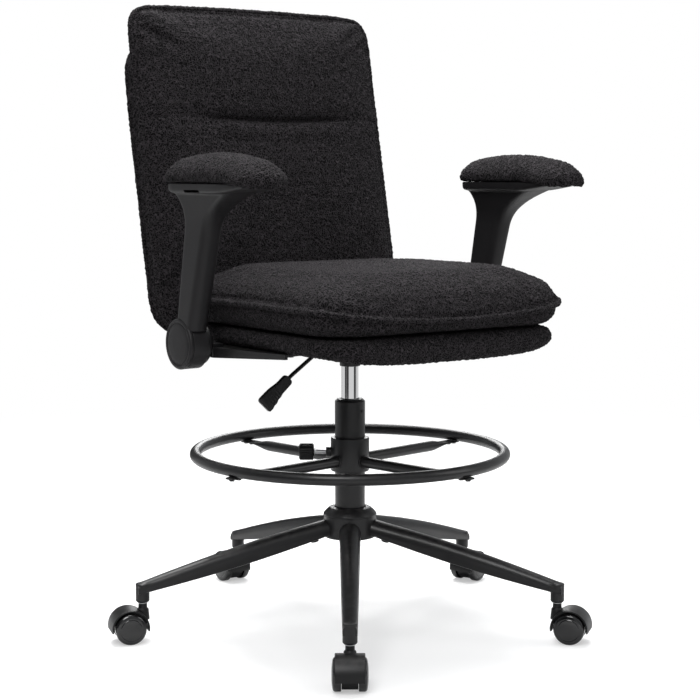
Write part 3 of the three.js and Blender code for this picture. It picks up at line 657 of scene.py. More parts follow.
def material(slot):
    """The finish of one of the record's material slots, made once."""
    name = f"chair_{slot}"
    found = bpy.data.materials.get(name)
    if found:
        return found
    look = bpy.context.scene.chair_finishes
    makers = {
        "boucle": fabric_material,
        "plywood": wood_material,
        "black_steel": lambda name: hard_material(name, look.steel, 0.40, specular=0.34, coat=0.10,
                                                  grain=0.0009, depth=0.3),
        "chrome": lambda name: hard_material(name, (0.83, 0.83, 0.84), 0.07, metallic=1.0,
                                             depth=0.02, spread=0.04, dust=0.02),
        "zinc_steel": lambda name: hard_material(name, (0.52, 0.52, 0.53), 0.3, metallic=1.0,
                                                 depth=0.15, dust=0.04),
        "grey_plastic": lambda name: hard_material(name, look.arm_plastic, 0.50, specular=0.22,
                                                   grain=0.0005, depth=0.18, dust=0.05),
        "black_plastic": lambda name: hard_material(name, look.wheel_plastic, 0.42, specular=0.32,
                                                    grain=0.0005, depth=0.15),
        "gloss_plastic": lambda name: hard_material(name, look.wheel_plastic, 0.14, specular=0.5,
                                                    coat=0.3, depth=0.04, spread=0.05, dust=0.04),
    }
    return makers[slot](name)


# ---- padded pieces ----------------------------------------------------------------
VOXEL = 5.0
FRAMES = 20


def pad_rows(outline, levels):
    """Shrunken copies of a flat outline; each level is (inset, height or function of x and y)."""
    low, high = outline.min(axis=0), outline.max(axis=0)
    centre, half = (low + high) / 2, (high - low) / 2
    rows = []
    for inset, height in levels:
        p = centre + (outline - centre) * (1 - inset / half)
        z = height(p[:, 0], p[:, 1]) if callable(height) else np.full(len(p), float(height))
        rows.append(np.column_stack([p, z]))
    return rows


def flowing(rows, steps=3):
    """Adds rows in between so that a stack of loops follows a smooth curve."""
    rows = [np.asarray(r, float) for r in rows]
    result = []
    for i in range(len(rows) - 1):
        a, b, c, d = rows[max(i - 1, 0)], rows[i], rows[i + 1], rows[min(i + 2, len(rows) - 1)]
        for k in range(steps):
            t = k / steps
            result.append(0.5 * (2 * b + (c - a) * t + (2 * a - 5 * b + 4 * c - d) * t ** 2
                                 + (3 * b - a - 3 * c + d) * t ** 3))
    return result + [rows[-1]]


def coordinates(mesh):
    values = np.empty(len(mesh.vertices) * 3)
    mesh.vertices.foreach_get("co", values)
    return values.reshape(-1, 3)


def move_points(obj, change):
    """Moves the points of a piece with a function of their places in millimetres."""
    points = (coordinates(obj.data) - np.array(AXIS)) / MM
    obj.data.vertices.foreach_set("co", to_frame(change(points)).ravel())
    obj.data.update()


def puff(obj, cap, held, pressure=4.0):
    """Even mesh, then a short cloth simulation that fills the cover; cap is in millimetres."""
    step = obj.modifiers.new("even", "REMESH")
    step.mode = "VOXEL"
    step.voxel_size = VOXEL * MM
    step.use_smooth_shade = True
    bake(obj)
    scene = bpy.context.scene
    start = coordinates(obj.data)
    still = held((start - np.array(AXIS)) / MM)
    group = obj.vertex_groups.new(name="held")
    group.add([int(i) for i in np.nonzero(still)[0]], 1.0, "REPLACE")
    cloth = obj.modifiers.new("cover", "CLOTH")
    settings = cloth.settings
    settings.quality = 5
    settings.use_pressure = True
    settings.uniform_pressure_force = pressure
    settings.effector_weights.gravity = 0
    settings.vertex_group_mass = "held"
    cloth.collision_settings.use_collision = False
    cloth.point_cache.frame_start = 1
    cloth.point_cache.frame_end = FRAMES
    for number in range(1, FRAMES + 1):
        scene.frame_set(number)
    graph = bpy.context.evaluated_depsgraph_get()
    filled = coordinates(obj.evaluated_get(graph).data)
    obj.modifiers.clear()
    obj.vertex_groups.clear()
    scene.frame_set(1)
    travel = filled - start
    far = np.linalg.norm(travel, axis=1, keepdims=True) / MM
    travel *= np.where(far > 1e-6, cap * np.tanh(far / cap) / np.maximum(far, 1e-6), 1.0)
    obj.data.vertices.foreach_set("co", (start + travel).ravel())
    obj.data.update()


def soft_finish(obj, body, fill, sew=None, *nodes):
    """Finer mesh, sewn lines, curls of yarn, then the piece gets its finish, rides on its body and hides the
    parts it replaces.
    """
    fabric = bpy.context.scene.chair_fabric
    finer = obj.modifiers.new("finer", "SUBSURF")
    finer.levels = finer.render_levels = 1
    bake(obj)
    if sew:
        move_points(obj, sew)
    cover = material("boucle")
    grow(obj, "Yarn pile", Material=cover, **{"Loop size": fabric.loop_size * 1.4,
                                              "Loop height": fabric.loop_height})
    finish_piece(obj, body, "boucle", *nodes, angle=180)
    return obj


def hug(points, pad, lift):
    """Takes an evenly spaced closed line to the nearest skin of a pad, lifted a little, smoothly."""
    surface = BVHTree.FromObject(pad, bpy.context.evaluated_depsgraph_get())
    found = []
    for point in to_frame(points):
        place, normal, _, _ = surface.find_nearest(Vector(point))
        found.append(place / MM - AXIS / MM + normal * lift)
    line = np.array(found)
    for _ in range(6):
        line = (line + np.roll(line, 1, axis=0) + np.roll(line, -1, axis=0)) / 3
    return line


def welt(name, points, pad, body, radius=None):
    """Rolled seam along a closed line of points on a pad."""
    fabric = bpy.context.scene.chair_fabric
    lift = 350 * (radius or fabric.welt_radius)
    obj = path_object(name, hug(points, pad, lift), closed=True)
    cover = material("boucle")
    grow(obj, "Welt", Material=cover, Radius=radius or fabric.welt_radius,
         **{"Loop size": fabric.loop_size * 1.4, "Loop height": fabric.loop_height * 0.8})
    return finish_piece(obj, body, "boucle", angle=180)


# Edges of the pads, as half width, low end and high end. The seat's run along Y and the back's
# run up the lying-down back.
LOWER_EDGE = (236, -281, 165)
FRONT_PAD_EDGE = (249, 14, 568)
REAR_PAD_EDGE = (244, 10, 509)
CREASE_CENTRE, CREASE_REACH = 14, 150

# Seat: the seam of the upper cushion dips at the middle of the front.
SEAT_HALF, SEAT_FRONT, SEAT_REAR, SEAT_CORNER = 250.0, -295.0, 169.0, 78.0
SEAT_CROWN, SEAT_UNDER = 600.0, 512.6


def seat_seam(x, y):
    forward = smooth((y - SEAT_REAR) / (SEAT_FRONT - SEAT_REAR), 0.7, 1.0)
    middle = 1 - np.clip(np.abs(x) / SEAT_HALF, 0, 1) ** 2
    return mix(551.0, 531.0, forward * middle)


def seat_outline(inset=0.0):
    return round_rectangle(-SEAT_HALF + inset, SEAT_HALF - inset, SEAT_FRONT + inset,
                           SEAT_REAR - inset, SEAT_CORNER - inset * 0.5)


def upper_cushion():
    def between(share):
        return lambda x, y: mix(seat_seam(x, y), SEAT_CROWN, share)

    rows = flowing(pad_rows(seat_outline(), [
        (170, SEAT_UNDER), (70, SEAT_UNDER), (44, SEAT_UNDER), (26, SEAT_UNDER + 2),
        (15, lambda x, y: mix(seat_seam(x, y), SEAT_UNDER, 0.66)),
        (12, lambda x, y: mix(seat_seam(x, y), SEAT_UNDER, 0.38)),
        (11, lambda x, y: seat_seam(x, y) - 4), (8, lambda x, y: seat_seam(x, y) + 2),
        (9, between(0.20)), (14, between(0.46)), (26, between(0.72)), (46, between(0.89)),
        (78, between(0.975)), (130, SEAT_CROWN - 1), (190, SEAT_CROWN)]))
    obj = mesh_object("upper_cushion", skin(rows))
    puff(obj, 7, lambda p: (p[:, 2] < SEAT_UNDER + 3) |
         (np.abs(p[:, 2] - seat_seam(p[:, 0], p[:, 1])) < 5))

    def sew(p):
        seam = seat_seam(p[:, 0], p[:, 1])
        above = np.exp(-((p[:, 2] - seam - 8) / 4.0) ** 2)
        inward = edge_distance(p, SEAT_HALF, SEAT_FRONT, SEAT_REAR) < 30
        p[:, 0] *= 1 - 0.010 * above * inward
        p[:, 1] = mix(p[:, 1], -60, 0.010 * above * inward)
        p[:, 2] = np.maximum(p[:, 2], SEAT_UNDER + 0.4)
        return p

    soft_finish(obj, "seat", 0.75, sew, "seat_upper_cushion")
    line = even_outline(seat_outline(3.5), 4)
    path = np.column_stack([line, seat_seam(line[:, 0], line[:, 1])])
    welt("upper_cushion_welt", path, obj, "seat")


def pad_outline(edge, corner, inset=0.0, bow=0.0):
    half, low, high = edge
    return round_rectangle(-half + inset, half - inset, low + inset, high - inset, corner, bow=bow)


def edge_distance(p, half, low, high):
    """How far points are inside a rectangle that is even about x = 0."""
    return np.minimum(half - np.abs(p[:, 0]), np.minimum(p[:, 1] - low, high - p[:, 1]))


def lower_lip(x, y):
    """Underside of the lower cushion: lowest at the middle of the front."""
    forward = smooth(-y, 195, 265)
    middle = 1 - np.clip(np.abs(x) / 236, 0, 1) ** 3
    return mix(481.0, 465.5, forward * middle)


def lower_cushion():
    top = 510.0
    outline = pad_outline(LOWER_EDGE, 74)
    rows = flowing(pad_rows(outline, [
        (170, 479.5), (90, 479.5), (60, 479.5), (32, lambda x, y: lower_lip(x, y) + 1),
        (15, lambda x, y: lower_lip(x, y) + 1), (5, lambda x, y: mix(lower_lip(x, y), top, 0.22)),
        (1, lambda x, y: mix(lower_lip(x, y), top, 0.5)),
        (5, lambda x, y: mix(lower_lip(x, y), top, 0.80)), (14, top - 1.5), (30, top),
        (70, top), (170, top)]))
    obj = mesh_object("lower_cushion", skin(rows))
    puff(obj, 4, lambda p: (p[:, 2] > top - 2) | (edge_distance(p, *LOWER_EDGE) > 36))

    def sew(p):
        p[:, 2] = np.minimum(p[:, 2], top + 1.2)
        return p

    soft_finish(obj, "seat", 0.7, sew, "seat_lower_cushion")


def stand(points):
    """Takes points made lying down (across, up the back, towards its front) to the leaning back."""
    p = np.asarray(points, float).reshape(-1, 3)
    s, c = math.sin(BACK_LEAN), math.cos(BACK_LEAN)
    return np.column_stack([p[:, 0], BACK_FOOT[0] + p[:, 1] * s - p[:, 2] * c,
                            BACK_FOOT[1] + p[:, 1] * c + p[:, 2] * s])


def lie(points):
    """The reverse of stand."""
    p = np.asarray(points, float).reshape(-1, 3)
    s, c = math.sin(BACK_LEAN), math.cos(BACK_LEAN)
    y, z = p[:, 1] - BACK_FOOT[0], p[:, 2] - BACK_FOOT[1]
    return np.column_stack([p[:, 0], y * s + z * c, -y * c + z * s])


def crease_line(x):
    """How far up the back the seam runs; it sags in the middle."""
    return 370.5 - 3.5 * np.exp(-((x - CREASE_CENTRE) / 85) ** 2)


def crease_depth(x):
    """The seam across the back is drawn in deeply in the middle and runs out to the sides."""
    return mix(1.5, 10.0, 1 - smooth(np.abs(x - CREASE_CENTRE), 100, CREASE_REACH))


def front_pad():
    outline = pad_outline(FRONT_PAD_EDGE, 34, bow=4)

    def swell(share):
        return lambda x, u: 20 * share * mix(0.35, 1, smooth(u, 12, 142))

    rows = [stand(r) for r in flowing(pad_rows(outline, [
        (150, -12.5), (60, -12.5), (24, -12.5), (12, -12), (7, -9), (6, -4), (4, 1.5),
        (7, swell(0.32)), (15, swell(0.60)), (30, swell(0.82)), (60, swell(0.96)),
        (110, swell(1)), (180, swell(1))]))]
    obj = mesh_object("front_pad", skin(rows))

    def held(p):
        q = lie(p)
        seam = ((np.abs(q[:, 1] - crease_line(q[:, 0])) < 6) & (q[:, 2] > 0)
                & (np.abs(q[:, 0] - CREASE_CENTRE) < CREASE_REACH))
        edge = edge_distance(q, *FRONT_PAD_EDGE)
        return seam | (q[:, 2] < -5) | ((edge < 7) & (q[:, 2] < 6))

    puff(obj, 8, held)

    def sew(p):
        q = lie(p)
        front = smooth(q[:, 2], 2, 8)
        away = q[:, 1] - crease_line(q[:, 0])
        line = np.exp(-(away / 3.6) ** 2)
        roll = np.exp(-((away + 20) / 13) ** 2) * 0.30 + np.exp(-((away - 18) / 12) ** 2) * 0.12
        q[:, 2] += front * crease_depth(q[:, 0]) * (roll - line)
        edge = edge_distance(q, *FRONT_PAD_EDGE)
        q[:, 2] -= 2.2 * np.exp(-((edge - 13) / 3.5) ** 2) * smooth(q[:, 2], -2, 3)
        q[:, 2] = np.maximum(q[:, 2], -13.4)
        return stand(q)

    soft_finish(obj, "seat", 0.7, sew, "back_front_pad")
    line = even_outline(round_rectangle(-247, 247, 15, 566, 32, bow=4), 4)
    welt("front_pad_welt", stand(np.column_stack([line, np.full(len(line), -0.5)])), obj, "seat")


def rear_pad():
    outline = pad_outline(REAR_PAD_EDGE, 50)

    def depth(share):
        return lambda x, u: -share * (81 - 25 * smooth(u, 320, 509))

    rows = [stand(r) for r in flowing(pad_rows(outline, [
        (190, depth(1)), (110, depth(1)), (62, depth(0.985)), (34, depth(0.95)), (17, depth(0.87)),
        (6, depth(0.74)), (2, depth(0.52)), (1, -30), (3, -20), (9, -16), (24, -15.2),
        (70, -15.2), (190, -15.2)]))]
    rows[0][:, 1] = rows[0][:, 1].mean()
    obj = mesh_object("rear_pad", skin(flatten_ends(rows)))

    def held(p):
        q = lie(p)
        return (q[:, 2] > -22) | ((np.abs(q[:, 2] + 34) < 4) & (edge_distance(q, *REAR_PAD_EDGE) < 16))

    puff(obj, 6, held)

    def sew(p):
        q = lie(p)
        q[:, 2] = np.minimum(q[:, 2], -14.8)
        return stand(q)

    soft_finish(obj, "seat", 0.7, sew, "back_rear_pad")
    line = even_outline(pad_outline(REAR_PAD_EDGE, 50, inset=1), 4)
    welt("rear_pad_welt", stand(np.column_stack([line, np.full(len(line), -34.0)])), obj, "seat", 0.0036)


def flatten_ends(rows):
    """Keeps the first and last loops flat in the lying-down frame, so their caps are flat."""
    flat = [lie(r) for r in rows]
    for end in (0, -1):
        flat[end][:, 2] = flat[end][:, 2].mean()
    return [stand(r) for r in flat]


# ---- arms -------------------------------------------------------------------------
ARM_X, ARM_HALF_WIDTH, ARM_Y, ARM_HALF_LENGTH = 294.0, 38.5, -87.0, 133.5
TRAY_LOW, TRAY_TOP, PAD_TOP = 722.0, 737.0, 785.0
HUB_RADIUS = 40.0


def arm_outline(inset=0.0):
    hx, hy = ARM_HALF_WIDTH - inset, ARM_HALF_LENGTH - inset
    return round_rectangle(ARM_X - hx, ARM_X + hx, ARM_Y - hy, ARM_Y + hy, hx - 0.5, steps=12)


def droop(y):
    """How much the front of the arm dips below its rear, from 0 to 1."""
    return smooth(-y, 115, 210)


def arm_pad():
    base = TRAY_TOP + 0.8

    def crown(y):
        return PAD_TOP - 2 - 15 * smooth(-y, 95, 235) - 9 * smooth(y, -70, 60)

    def level(share):
        return lambda x, y: mix(base - 9 * droop(y), crown(y), share)

    rows = flowing(pad_rows(arm_outline(), [
        (24, base), (14, base), (6, base), (2.4, level(0)), (-1.2, level(0.04)), (-3, level(0.15)),
        (-2.4, level(0.33)), (1.5, level(0.55)), (8.5, level(0.72)), (15, level(0.86)),
        (22, level(0.94)), (28.5, level(0.985)), (34, level(1))]), 2)
    obj = mesh_object("arm_left_top", skin(rows))
    puff(obj, 3, lambda p: p[:, 2] < base + 3)
    return obj


def post_section(z, steps=6):
    """Outline of the upright at a height; it leans back to the pivot and flares under the tray."""
    t = (z - 508) / (700 - 508)
    flare = np.clip((z - 660) / (TRAY_LOW + 3 - 660), 0, 1)
    front = mix(-8, -64, t) - 74 * flare ** 2.6
    rear = mix(41, 6, t) + 26 * flare ** 3
    half = 17.4 + 9 * flare ** 2.2
    middle = ARM_X - 2 + 2 * flare
    points = []
    corners = [(middle + half, rear, 9), (middle - half, rear, 9),
               (middle - half, front, 14), (middle + half, front, 14)]
    for quarter, (cx, cy, r) in enumerate(corners):
        centre = (cx - r if cx > middle else cx + r, cy - r if quarter < 2 else cy + r)
        for k in range(steps + 1):
            a = (quarter + k / steps) * math.pi / 2
            points.append((centre[0] + r * math.cos(a), centre[1] + r * math.sin(a), z))
    return np.array(points)


def blend_together(obj, voxel, rounds):
    """Merges overlapping shapes into one skin with soft inner corners."""
    step = obj.modifiers.new("merge", "REMESH")
    step.mode = "VOXEL"
    step.voxel_size = voxel * MM
    relax = obj.modifiers.new("relax", "SMOOTH")
    relax.factor = 0.5
    relax.iterations = rounds
    return bake(obj)


def on_pivot(profile, segments=96, round_off=0.8):
    """Turned part on the arm's hinge; the profile is [radius, distance from the middle]."""
    return shifted(along_x(lathe(profile, segments, round_off)), (0, PIVOT[0], PIVOT[1]))


def arm_post():
    upright = skin([post_section(z) for z in np.linspace(508, TRAY_LOW + 4, 44)])

    def lifted(height, share):
        return lambda x, y: height + share * 10 * smooth(-y, 107, 222)

    tray = skin(flowing(pad_rows(arm_outline(), [
        (20, lifted(TRAY_LOW, 1)), (9, lifted(TRAY_LOW, 1)), (4, lifted(TRAY_LOW + 1.6, 0.9)),
        (1.6, lifted(TRAY_LOW + 5, 0.7)), (1.2, TRAY_TOP - 2), (1.8, TRAY_TOP - 0.2),
        (8, TRAY_TOP)]), 2))
    reach = 0.13 * droop(tray[0][:, 1])
    tray[0][:, 0] = mix(tray[0][:, 0], ARM_X, reach)
    tray[0][:, 1] = mix(tray[0][:, 1], ARM_Y, reach * 0.3)
    obj = mesh_object("arm_left_upright", upright, tray)
    blend_together(obj, 1.8, 4)
    hub_room = mesh_object("hub_room", on_pivot([(0, 250), (HUB_RADIUS + 0.5, 250),
                                                 (HUB_RADIUS + 0.5, 330), (0, 330)], 96, 0))
    slot_room = mesh_object("slot_room", box_shape(311, 345, -71, -27, 723.4, 727.4, edge=0.8))
    return boolean(obj, "DIFFERENCE", hub_room, slot_room)


def arm_hub():
    return mesh_object("arm_left_boss", on_pivot([
        (6.5, 276.6), (HUB_RADIUS - 0.3, 276.6), (HUB_RADIUS - 0.3, 302.8), (31.5, 302.8),
        (31.5, 293.5), (6.5, 293.5), (6.5, 276.6)]))


def arm_cap():
    """Cover of the hinge with a raised centre inside a rim."""
    r = HUB_RADIUS
    return mesh_object("arm_left_cover", on_pivot([
        (0, 303.6), (r - 0.3, 303.6), (r, 304.4), (r, 307.4), (r - 1.2, 309.0), (r - 3.6, 310.0),
        (r - 5.4, 309.9), (r - 6.6, 308.2), (r - 7.8, 308.2), (r - 9.0, 309.6), (r - 15, 310.4),
        (r - 26, 310.9), (0, 311.1)], 96, 0.5))


def prism(outline, bottom, top):
    """Upright block over a flat outline; bottom may be a function of y."""
    low = [(x, y, bottom(y) if callable(bottom) else bottom) for x, y in outline]
    return skin([low, [(x, y, top) for x, y in outline]])


def arm_bracket():
    """Steel plate under the seat, its tapered flange and the collar that carries the hinge."""
    plate = [(180, -140), (229, -149), (262, 3), (262, 57), (180, 57)]
    flange = [(224, -149), (229, -149), (262.4, 5), (257.4, 5)]
    parts = [
        prism(flange, lambda y: mix(465, 473, (3 - y) / 152), 480.8),
        box_shape(243, 264, 3, 57, 465, 487, edge=1.6),
        on_pivot([(0, 262), (28, 262), (34, 268), (34, 276), (0, 276)], 72, 1.2),
    ]
    obj = mesh_object("arm_left_carrier", prism(plate, 476.8, 480.8))
    boolean(obj, "UNION", *[mesh_object(f"carrier_{i}", part) for i, part in enumerate(parts)])
    hole = mesh_object("pin_room", on_pivot([(0, 265.7), (6.4, 265.7), (6.4, 277), (0, 277)], 32, 0))
    return boolean(obj, "DIFFERENCE", hole)


def bracket_bolts():
    """Two bolts up through each arm bracket, under the seat."""
    places = [((sign * 198, y, 476.6), (0, 0, -1)) for sign in (-1, 1) for y in (-118, -38, 36)]
    studs("bracket_bolts", "seat", "zinc_steel", places, 6, 5.2, 4.2, foot=(7.8, 1.2))


# ---- base -------------------------------------------------------------------------
def hub():
    obj = mesh_object("hub_shell", lathe([
        (25.4, 149), (43.0, 149), (44.0, 152), (44.0, 184.5), (44.5, 185.6), (44.3, 188),
        (40.5, 192.8), (35.2, 197.4), (33.6, 198.2), (28.0, 199.6), (25.8, 198.8), (25.4, 149)],
        128, 0.7))
    return finish_piece(obj, "base", "black_steel", "base_hub")


def leg_loop(reach):
    """Half-round section of the pressed leg, open channel closed flat underneath."""
    t = (reach - 36) / (360 - 36)
    half = mix(18, 11.3, t)
    swell = 5 * math.sin(math.pi * min(max(t, 0), 1))
    bottom = mix(156, 78, t) - swell
    top = mix(180.5, 95, t) + swell
    spring = max(top - half * 1.05, bottom + 4)
    loop = [(half * 0.86, bottom), (half * 0.97, bottom + 1), (half, bottom + 3)]
    for k in range(13):
        a = k / 12 * math.pi
        loop.append((half * math.cos(a), spring + (top - spring) * math.sin(a)))
    loop += [(-half, bottom + 3), (-half * 0.97, bottom + 1), (-half * 0.86, bottom)]
    return [(reach, y, z) for y, z in loop]


def leg(number):
    beam = skin([leg_loop(reach) for reach in np.linspace(30, 360.5, 26)])
    socket = shifted(lathe([(0, 64.2), (9.4, 64.2), (11.2, 66.2), (11.2, 93.5), (9.0, 95.0), (0, 95.2)],
                           48, 0.8), (SOCKET_REACH, 0, 0))
    bore = shifted(lathe([(0, 60), (5.9, 60), (5.9, 92.6), (0, 92.6)], 32), (SOCKET_REACH, 0, 0))
    turn = LEG_TURNS[number]
    obj = mesh_object(f"leg_{number + 1}", facing(beam, turn))
    boolean(obj, "UNION", mesh_object("socket", facing(socket, turn)))
    boolean(obj, "DIFFERENCE", mesh_object("bore", facing(bore, turn)),
            mesh_object("hub_room", lathe([(0, 100), (44.4, 100), (44.4, 230), (0, 230)], 96)))
    return finish_piece(obj, "base", "black_steel",
                        f"base_leg_{number + 1}", angle=40)


def leg_bolts():
    """A bolt head under the root of every leg."""
    places = []
    for turn in LEG_TURNS:
        places.append(((*outward(turn, 62), 146.4), (*outward(turn, -0.23), -1)))
    studs("leg_bolts", "base", "black_steel", places, 20, 6.6, 3.6, foot=(8.4, 1.4))


def column():
    obj = mesh_object("column_shell", lathe([
        (6, 150), (25, 150), (25, 376.4), (23.8, 378), (23, 378), (23, 155), (6, 155), (6, 150)],
        96, 0.7))
    finish_piece(obj, "base", "black_steel", "column_tube")
    bush = mesh_object("column_sleeve", lathe([
        (14.5, 302), (22.6, 302), (22.6, 378.4), (21.6, 380.4), (15.6, 380.4), (14.5, 379.2),
        (14.5, 302)], 96, 0.5))
    finish_piece(bush, "base", "black_plastic", "column_bush")
    mark = outward(20, 25.05)
    studs("column_rivet", "base", "black_steel", [((*mark, 361), (*outward(20, 1), 0))],
          16, 2.1, 0.7, foot=(3.0, 0.5))


def gas_lift():
    obj = mesh_object("lift_shell", lathe([
        (5.6, 190), (14, 190), (14, 445), (13.4, 457), (3.5, 457), (3.5, 437), (12, 433), (12, 196),
        (5.6, 196), (5.6, 190)], 96, 0.4))
    finish_piece(obj, "seat", "chrome", "gas_cylinder")


# ---- foot ring --------------------------------------------------------------------
RING_Z, SPOKE_Z, KNOB_Z = 290.6, 277.5, 291.0


def torus(radius, tube, height, around=144, section=24):
    rows = []
    for k in range(around):
        a = 2 * math.pi * k / around
        loop = [((radius + tube * math.cos(b)) * math.cos(a), (radius + tube * math.cos(b)) * math.sin(a),
                 height + tube * math.sin(b)) for b in np.linspace(0, 2 * math.pi, section, False)]
        rows.append(loop)
    return skin(rows, ring=True)


def spoke():
    """Round tube pressed flat at its outer end, made along +X."""
    rows = []
    for reach in [*np.linspace(28, 196, 6), *np.linspace(201, 236, 10), 244, 252, 260, 264, 266.5]:
        flat = smooth(reach, 198, 234)
        wide = mix(9, 12, flat) * (1 - 0.35 * smooth(reach, 258, 267.5))
        thick = mix(9, 1.5, flat)
        middle = mix(SPOKE_Z, 279.5, flat)
        power = mix(1.0, 0.45, flat)
        loop = []
        for b in np.linspace(0, 2 * math.pi, 24, False):
            c, s = math.cos(b), math.sin(b)
            loop.append((reach, wide * math.copysign(abs(c) ** power, c),
                         middle + thick * math.copysign(abs(s) ** power, s)))
        rows.append(loop)
    return skin(rows)


def foot_ring():
    ring = mesh_object("ring_tube", torus(256.5, 9.3, RING_Z))
    finish_piece(ring, "foot_ring", "black_steel", "foot_ring")
    collar = mesh_object("ring_carrier", lathe([(0, 260), (32, 260), (32, 316), (0, 316)], 96, 1.8))
    arms = [mesh_object(f"spoke_{i}", facing(spoke(), turn)) for i, turn in enumerate(SPOKE_TURNS)]
    boss = mesh_object("boss", facing(shifted(along_x(lathe([(0, 28), (8, 28), (8, 40), (0, 40)], 40, 0.8)),
                                              (0, 0, KNOB_Z)), KNOB_TURN))
    boolean(collar, "UNION", *arms, boss)
    bore = lathe([(0, 200), (25.5, 200), (25.5, 380), (0, 380)], 96)
    boolean(collar, "DIFFERENCE", mesh_object("bore", bore))
    finish_piece(collar, "foot_ring", "black_steel", "ring_spider")
    weld_beads()
    places = [((*outward(turn, reach), 277.6), (0, 0, -1)) for turn in SPOKE_TURNS for reach in (246, 260)]
    studs("ring_screws", "foot_ring", "black_steel", places, 18, 4.0, 2.4, foot=(5.2, 1.0))


def weld_beads():
    """A bead of weld where each spoke meets the collar."""
    beads = []
    for turn in SPOKE_TURNS:
        loop = []
        for b in np.linspace(0, 2 * math.pi, 36, False):
            side, up = 9.3 * math.cos(b), 9.3 * math.sin(b)
            loop.append((math.sqrt(32.3 ** 2 - side ** 2), side, SPOKE_Z + up))
        beads.append(turned(loop, turn))
    for number, loop in enumerate(beads):
        obj = path_object(f"weld_{number + 1}", loop, closed=True)
        grow(obj, "Welt", Material=material("black_steel"), Radius=0.0017, Step=0.0012,
             **{"Loop size": 0.0030, "Loop height": 0.0009})
        finish_piece(obj, "foot_ring", "black_steel")


def clamp_knob():
    """Ribbed grip on a threaded screw."""
    grip = mesh_object("knob_grip", facing(shifted(along_x(lathe([
        (4.4, 60), (11.4, 60), (13.0, 61.4), (13.0, 83.2), (11.0, 85), (0, 85), (0, 76), (4.4, 76),
        (4.4, 60)], 72, 0.9)), (0, 0, KNOB_Z)), KNOB_TURN))
    finish_piece(grip, "clamp_knob", "black_plastic", "clamp_knob")
    way = outward(KNOB_TURN, 1)
    side = (way[1], -way[0])
    ribs = []
    for k in range(20):
        a = 2 * math.pi * k / 20
        across, up = 12.8 * math.cos(a), 12.8 * math.sin(a)
        ribs.append(((way[0] * 61.6 + side[0] * across, way[1] * 61.6 + side[1] * across, KNOB_Z + up),
                     (*way, 0)))
    studs("knob_ribs", "clamp_knob", "black_plastic", ribs, 10, 1.2, 21.4, foot=(1.2, 0.4))
    screw = mesh_object("knob_screw", facing(shifted(along_x(lathe([
        (0, 25.4), (3.4, 25.4), (3.4, 75.4), (0, 75.4)], 32, 0.3)), (0, 0, KNOB_Z)), KNOB_TURN))
    finish_piece(screw, "clamp_knob", "zinc_steel", "clamp_screw")
    turns = [((way[0] * reach, way[1] * reach, KNOB_Z), (*way, 0)) for reach in np.arange(41.5, 59.5, 1.1)]
    studs("knob_thread", "clamp_knob", "zinc_steel", turns, 24, 3.9, 0.5, foot=(3.6, 0.6))


# ---- mechanism and lever ----------------------------------------------------------
def mechanism():
    """Seat plate, its box and the taper socket for the gas lift."""
    obj = mesh_object("seat_plate", box_shape(-75, 75, -95, 95, 478, 481, edge=0.9))
    boolean(obj, "UNION", mesh_object("box", box_shape(-30, 30, -70, 70, 449, 480, edge=2.2)))
    boolean(obj, "DIFFERENCE", mesh_object("room", box_shape(-27, 27, -67, 67, 440, 478, edge=1.2)))
    boolean(obj, "UNION", mesh_object("floor", box_shape(-29, 29, -24, 24, 449, 452, edge=0.4)),
            mesh_object("boss", lathe([(0, 435), (17, 435), (17, 457.4), (0, 457.4)], 72, 1.2)))
    boolean(obj, "DIFFERENCE",
            mesh_object("bore", lathe([(0, 430), (14.35, 430), (14.35, 460), (0, 460)], 72)),
            mesh_object("slot", box_shape(-31, -26, -6, 6, 459.4, 475.4, edge=0.5)))
    finish_piece(obj, "seat", "black_steel", "mechanism_plate")
    places = [((x, y, 477.8), (0, 0, -1)) for x in (-60, 60) for y in (-80, 80)]
    studs("plate_bolts", "seat", "zinc_steel", places, 6, 5.0, 4.0, foot=(7.5, 1.2))


LEVER_KNEE, LEVER_TIP = (-128.0, 418.0), (-172.0, 380.0)


def lever():
    drop = (Vector(LEVER_TIP) - Vector(LEVER_KNEE)).normalized()
    knee = Vector(LEVER_KNEE)
    route = rounded([(2.5, 467.4), (-57, 467.4), knee - drop * 12, knee + drop * 4], 18, 10)
    rows = []
    for i, (x, z) in enumerate(route):
        before, after = route[max(i - 1, 0)], route[min(i + 1, len(route) - 1)]
        ahead = Vector((after[0] - before[0], after[1] - before[1])).normalized()
        rows.append([(x - ahead.y * 3.3 * math.cos(b), 3.3 * math.sin(b), z + ahead.x * 3.3 * math.cos(b))
                     for b in np.linspace(0, 2 * math.pi, 20, False)])
    rod = mesh_object("lever_bar", skin(rows))
    finish_piece(rod, "lever", "black_steel", "lever_rod")
    finish_piece(lever_grip(drop), "lever", "black_plastic", "lever_paddle")
    up = Vector((drop.y, -drop.x))
    places = []
    for k in range(5):
        x, z = knee + drop * (22 + 5 * k) - up * (8.5 + 0.5 * k)
        places.append(((x, -3.9, z), (up.x, 0, up.y)))
    studs("lever_ribs", "lever", "black_plastic", places, 10, 1.0, 17.0, foot=(0.9, 0.4))


